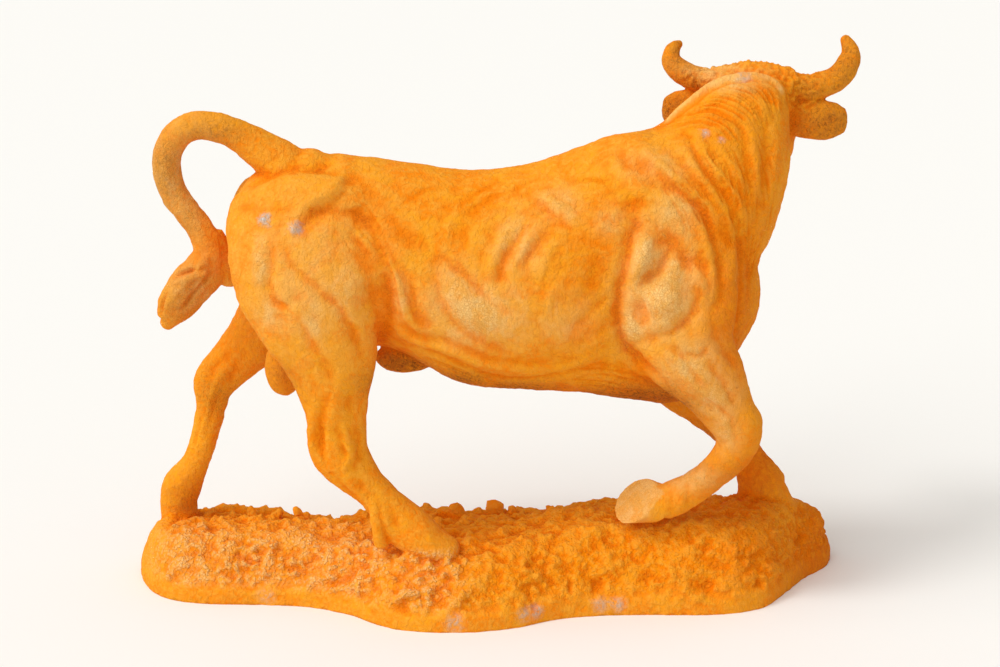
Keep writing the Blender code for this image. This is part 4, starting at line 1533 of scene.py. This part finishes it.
# %% The masks
# The heights and depths in millimetres at which fine and broad relief counts in full
FINE_HEIGHT, BROAD_HEIGHT = 0.22, 1.3
FINE_DEPTH, BROAD_DEPTH = 0.30, 1.8
x, y, z = points.T
level = np.array([plateau(p[0], p[1]) if p[2] < 60 else 0.0 for p in points])
earthy = np.clip(1.5 - (z - level) / 4, 0, 1)
lit_earth = np.zeros(len(points))
for px, py, reach in LIT_EARTH:
    lit_earth = np.maximum(lit_earth, np.exp(-(((x - px) / reach) ** 2 + ((y - py) / reach) ** 2)))
bare = np.zeros(len(points))
for *place, radius, share in BARE:
    away = np.linalg.norm(points - np.array(place), axis=1) / radius
    bare = np.maximum(bare, share * np.clip(1.3 - away, 0, 1))
crumbs = earthy * np.clip((z - GROUND_RIM) / 6, 0, 1)
raised = np.clip(-fine / FINE_HEIGHT, 0, 1) * 0.6 + np.clip(-broad / BROAD_HEIGHT, 0, 1) * 0.6
hollow = np.clip(fine / FINE_DEPTH, 0, 1) * 0.45 + np.clip(broad / BROAD_DEPTH, 0, 1) * 0.6
rim_gap, _ = distance_to(through(RIM, 4), points)
rim_share = np.exp(-((rim_gap / 2.2) ** 2))
raised = np.maximum(raised, rim_share)
# Hollows hold thicker rust, and their deepest creases get painted shade
keep(mesh, "hollow", hollow)
keep(mesh, "raised", raised)
# Thin tan rust from handling, made paler still as a painted sheen
pale = patches(RUBBED_AND_SHEEN, x, z) * (1 - earthy) * (0.95 - 0.55 * hollow + 0.4 * raised)
on_sole = (beyond_sole(points)[0] > -0.3).astype(float)
keep(mesh, "rubbed_and_sheen", np.maximum(pale, 0.75 * on_sole))
# Painted highlights on the crumb tops at the ground's lit end
keep(mesh, "lit_crumb_tops", crumbs * lit_earth * (0.25 + raised))
keep(mesh, "rim", rim_share)
# Redder rust, with painted shade on the shadowed side and in recesses
keep(mesh, "red_rust_and_shade", patches(RED_RUST_AND_SHADE, x, z))
# The left horn and ear stand behind the neck in the side view, so their brown stays off it
at_left_horn = (x > 90) & (x < 140) & (z > 250)
behind = np.where(at_left_horn, np.clip((y - 36) / 6, 0, 1), 1)
# Brown rust, with painted shade under the belly
keep(mesh, "brown_rust_and_shade", patches(BROWN_RUST_AND_SHADE, x, z) * (1 - earthy) * behind)
keep(mesh, "bare", bare)
keep(mesh, "crumbs", crumbs)
print("masks:", [stored.name for stored in mesh.attributes if stored.data_type == "FLOAT"])

# %% [markdown]
# ## The material: rust on cast iron
#
# Cast iron is a grey metal, but almost none of it shows. Rust is iron oxide and hydroxide: a
# powder, not a metal, so it is rough, hardly mirrors anything and isn't metallic. Fresh rust is
# orange-yellow, and older, thicker rust is red-brown. Rubbed places are thinner rust over metal:
# tan, smoother, so that they catch soft highlights, and crossed by fine cracks; their palest tan
# is a painted sheen. The red and brown glazes also paint shade, the deepest hollows get painted
# shade, and the crumb tops of the earth painted highlights. Only the highest knobs and some chips
# along the lip are bare metal.
#
# Sand grain in iron casting is 0.2 to 0.5 mm. That is finer than a pixel here, so the grain is
# drawn at about 1 mm to show. Texture scales follow from widths in millimetres: a pattern that
# is to be 1 mm wide repeats 1000 times in a metre.

# %% Patterns
nodes = iron.node_tree
shader = nodes.nodes["Principled BSDF"]
place = add(nodes, "ShaderNodeTexCoord").outputs["Object"]
# width in millimetres, stretch upwards, detail, the noise value that gives 0 and the one that gives 1
CLOUDS = {
    "grain": (1.1, 1.0, 2.0, 0.40, 0.64),
    "coarse": (3.0, 1.0, 4.0, 0.40, 0.62),
    "streaks": (2.2, 2.2, 4.0, 0.38, 0.62),
    "blotches": (9.0, 1.5, 5.0, 0.43, 0.60),
    "drifts": (22.0, 1.0, 5.0, 0.44, 0.55),
    "pits": (1.8, 1.5, 3.0, 0.53, 0.62),
}
CRACK_WIDTH = 1.5
CRUMB_GRAIN = 2.0
pattern = {}
for number, (name, (width, stretch, detail, low, high)) in enumerate(CLOUDS.items()):
    moved = add(
        nodes,
        "ShaderNodeMapping",
        {"Vector": place, "Location": (number, -number, 2 * number), "Scale": (1, 1, 1 / stretch)},
    )
    cloud = add(
        nodes,
        "ShaderNodeTexNoise",
        {
            "Vector": moved.outputs["Vector"],
            "Scale": 1 / (width * MM),
            "Detail": detail,
            "Roughness": 0.62,
            "Distortion": 0.5,
        },
    )
    limits = {"Value": cloud.outputs["Fac"], "From Min": low, "From Max": high}
    spread = add(nodes, "ShaderNodeMapRange", limits)
    pattern[name] = spread.outputs["Result"]

# Cells whose places are stirred by noise crack like dried mud
coarse_stir = 1 / (2 * CRACK_WIDTH * MM)
stir = add(nodes, "ShaderNodeTexNoise", {"Vector": place, "Scale": coarse_stir, "Detail": 3.0})
stirred = add(
    nodes,
    "ShaderNodeVectorMath",
    {0: stir.outputs["Color"], 1: (2.2 * CRACK_WIDTH * MM,) * 3, 2: place},
    operation="MULTIPLY_ADD",
)
for name, width, feature, low, high in (
    ("cracks", CRACK_WIDTH, "DISTANCE_TO_EDGE", 0.16, 0.01),
    ("crumb_tops", CRUMB_GRAIN, "F1", 0.75, 0.15),
):
    at = {"Vector": stirred.outputs["Vector"], "Scale": 1 / (width * MM)}
    cells = add(nodes, "ShaderNodeTexVoronoi", at, feature=feature)
    limits = {"Value": cells.outputs["Distance"], "From Min": low, "From Max": high}
    spread = add(nodes, "ShaderNodeMapRange", limits)
    pattern[name] = spread.outputs["Result"]
print("patterns:", list(pattern))

# %% [markdown]
# The colour is a pile of glazes. Each glaze lies where a mask of the mesh and a pattern allow:
# its share is mask x (least + more x pattern), kept between 0 and 1.

# %% Glazes
BASE_RUST = "#F99E18"
# mask stored on the mesh, its power, pattern, least, more, colour
GLAZES = [
    (None, 1, "drifts", 0.0, 1.0, "#FA8400"),
    ("crumbs", 1, "drifts", 0.4, 0.6, "#FF9400"),
    # Painted highlights on the tops of the crumbs
    ("crumbs", 1, "crumb_tops", -0.2, 0.7, "#FFB748"),
    (None, 1, "blotches", 0.0, 0.5, "#F8A224"),
    (None, 1, "streaks", 0.0, 0.25, "#EE8E14"),
    (None, 1, "coarse", 0.0, 0.3, "#D47000"),
    ("raised", 1, "coarse", 0.1, 0.5, "#FFB23C"),
    # Redder rust, and painted shade on the shadowed side and in recesses
    ("red_rust_and_shade", 1, "coarse", 0.6, 0.4, "#DC6400"),
    # Thicker rust in hollows, and painted shade darkening the deepest creases
    ("hollow", 1, "coarse", 0.6, 0.7, "#F27A00"),
    ("hollow", 3, "grain", 0.1, 0.4, "#B4560A"),
    # Brown rust and dark pits, and painted shade under the belly
    ("brown_rust_and_shade", 1, "coarse", 0.5, 0.5, "#BE6C20"),
    ("brown_rust_and_shade", 1, "pits", 0.0, 0.7, "#7C4418"),
    ("rubbed_and_sheen", 1, "streaks", 0.5, 0.35, "#F4B85C"),
    # The palest tan is a painted sheen on thin rust
    ("rubbed_and_sheen", 1, "blotches", 0.1, 0.4, "#FFDC98"),
    ("rubbed_and_sheen", 1, "cracks", 0.0, 0.5, "#D88A2A"),
    # Painted highlights on the crumb tops at the ground's lit end
    ("lit_crumb_tops", 1, "crumb_tops", 0.1, 0.9, "#FFC47C"),
    ("rim", 1, "coarse", 0.65, 0.3, "#FFC878"),
    ("bare", 1, "coarse", 0.2, 1.2, "#C6BDB4"),
]
rust = linear(BASE_RUST)
shares = {}
for mask, power, name, least, more, colour in GLAZES:
    level = add(nodes, "ShaderNodeMath", {0: pattern[name], 1: more, 2: least}, operation="MULTIPLY_ADD")
    share = level.outputs[0]
    if mask:
        stored = add(nodes, "ShaderNodeAttribute", attribute_name=mask).outputs["Fac"]
        steep = add(nodes, "ShaderNodeMath", {0: stored, 1: power}, operation="POWER").outputs[0]
        there = add(nodes, "ShaderNodeMath", {0: share, 1: steep}, operation="MULTIPLY", use_clamp=True)
        share = there.outputs[0]
        shares.setdefault((mask, name), share)
    glaze = add(nodes, "ShaderNodeMix", {"Factor": share, 6: rust, 7: linear(colour)}, data_type="RGBA")
    rust = glaze.outputs[2]
nodes.links.new(rust, shader.inputs["Base Color"])
print("glazes:", len(GLAZES))

# %% Shine
# Powdery rust is rough. Rubbing and bare metal take this much roughness away, and show so much metal
RUST_ROUGHNESS, TAN_POLISH, METAL_POLISH = 0.82, 0.5, 0.36
TAN_GLINT, METAL_GLINT = 0.05, 0.85
tan_share, metal_share = shares["rubbed_and_sheen", "streaks"], shares["bare", "coarse"]
steps = {0: tan_share, 1: -TAN_POLISH, 2: RUST_ROUGHNESS}
smoother = add(nodes, "ShaderNodeMath", steps, operation="MULTIPLY_ADD").outputs[0]
steps = {0: metal_share, 1: -METAL_POLISH, 2: smoother}
roughness = add(nodes, "ShaderNodeMath", steps, operation="MULTIPLY_ADD").outputs[0]
nodes.links.new(roughness, shader.inputs["Roughness"])
glint = add(nodes, "ShaderNodeMath", {0: tan_share, 1: TAN_GLINT}, operation="MULTIPLY").outputs[0]
steps = {0: metal_share, 1: METAL_GLINT, 2: glint}
metallic = add(nodes, "ShaderNodeMath", steps, operation="MULTIPLY_ADD", use_clamp=True).outputs[0]
nodes.links.new(metallic, shader.inputs["Metallic"])
# Powder scatters light inside itself, so far less of it is mirrored than by a solid surface
shader.inputs["Specular IOR Level"].default_value = 0.06
print("roughness", RUST_ROUGHNESS, "to", round(RUST_ROUGHNESS - TAN_POLISH, 2))

# %% Grain that is too fine for the mesh
GRAIN_HEIGHT = 0.6
# mask, pattern, share of that height
RELIEFS = [
    (None, "grain", 0.12),
    (None, "coarse", 0.6),
    (None, "streaks", 0.4),
    ("rubbed_and_sheen", "cracks", -0.25),
    ("brown_rust_and_shade", "grain", 0.8),
    ("crumbs", "crumb_tops", 0.9),
    ("lit_crumb_tops", "crumb_tops", 0.8),
]
height = 0.0
for mask, name, share in RELIEFS:
    lift = add(nodes, "ShaderNodeMath", {0: pattern[name], 1: share}, operation="MULTIPLY").outputs[0]
    if mask:
        stored = add(nodes, "ShaderNodeAttribute", attribute_name=mask).outputs["Fac"]
        lift = add(nodes, "ShaderNodeMath", {0: lift, 1: stored}, operation="MULTIPLY").outputs[0]
    height = add(nodes, "ShaderNodeMath", {0: lift, 1: height}, operation="ADD").outputs[0]
bump = add(nodes, "ShaderNodeBump", {"Height": height, "Distance": GRAIN_HEIGHT * MM, "Strength": 1.0})
nodes.links.new(bump.outputs["Normal"], shader.inputs["Normal"])
print("material nodes:", len(nodes.nodes))

# %% [markdown]
# ## Hand over
#
# The finished mesh is scaled to metres once and stands for the plain casting of the frame. It is
# shaded smooth, but for the raised foot's sole, which is flat.

# %% Finish
mesh.transform(Matrix.Scale(MM, 4))
mesh.materials.clear()
mesh.materials.append(iron)
middles = np.array([polygon.center for polygon in mesh.polygons]) / MM
mesh.polygons.foreach_set("use_smooth", beyond_sole(middles)[0] < -0.3)
mesh.polygons.foreach_set("material_index", [0] * len(mesh.polygons))
bull = bpy.data.objects.new("bull_casting", mesh)
bpy.context.scene.collection.objects.link(bull)
for leftover in (body, earth, curls, clods, casting):
    bpy.data.meshes.remove(leftover)
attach(bull, "root")
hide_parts("cast_bull")
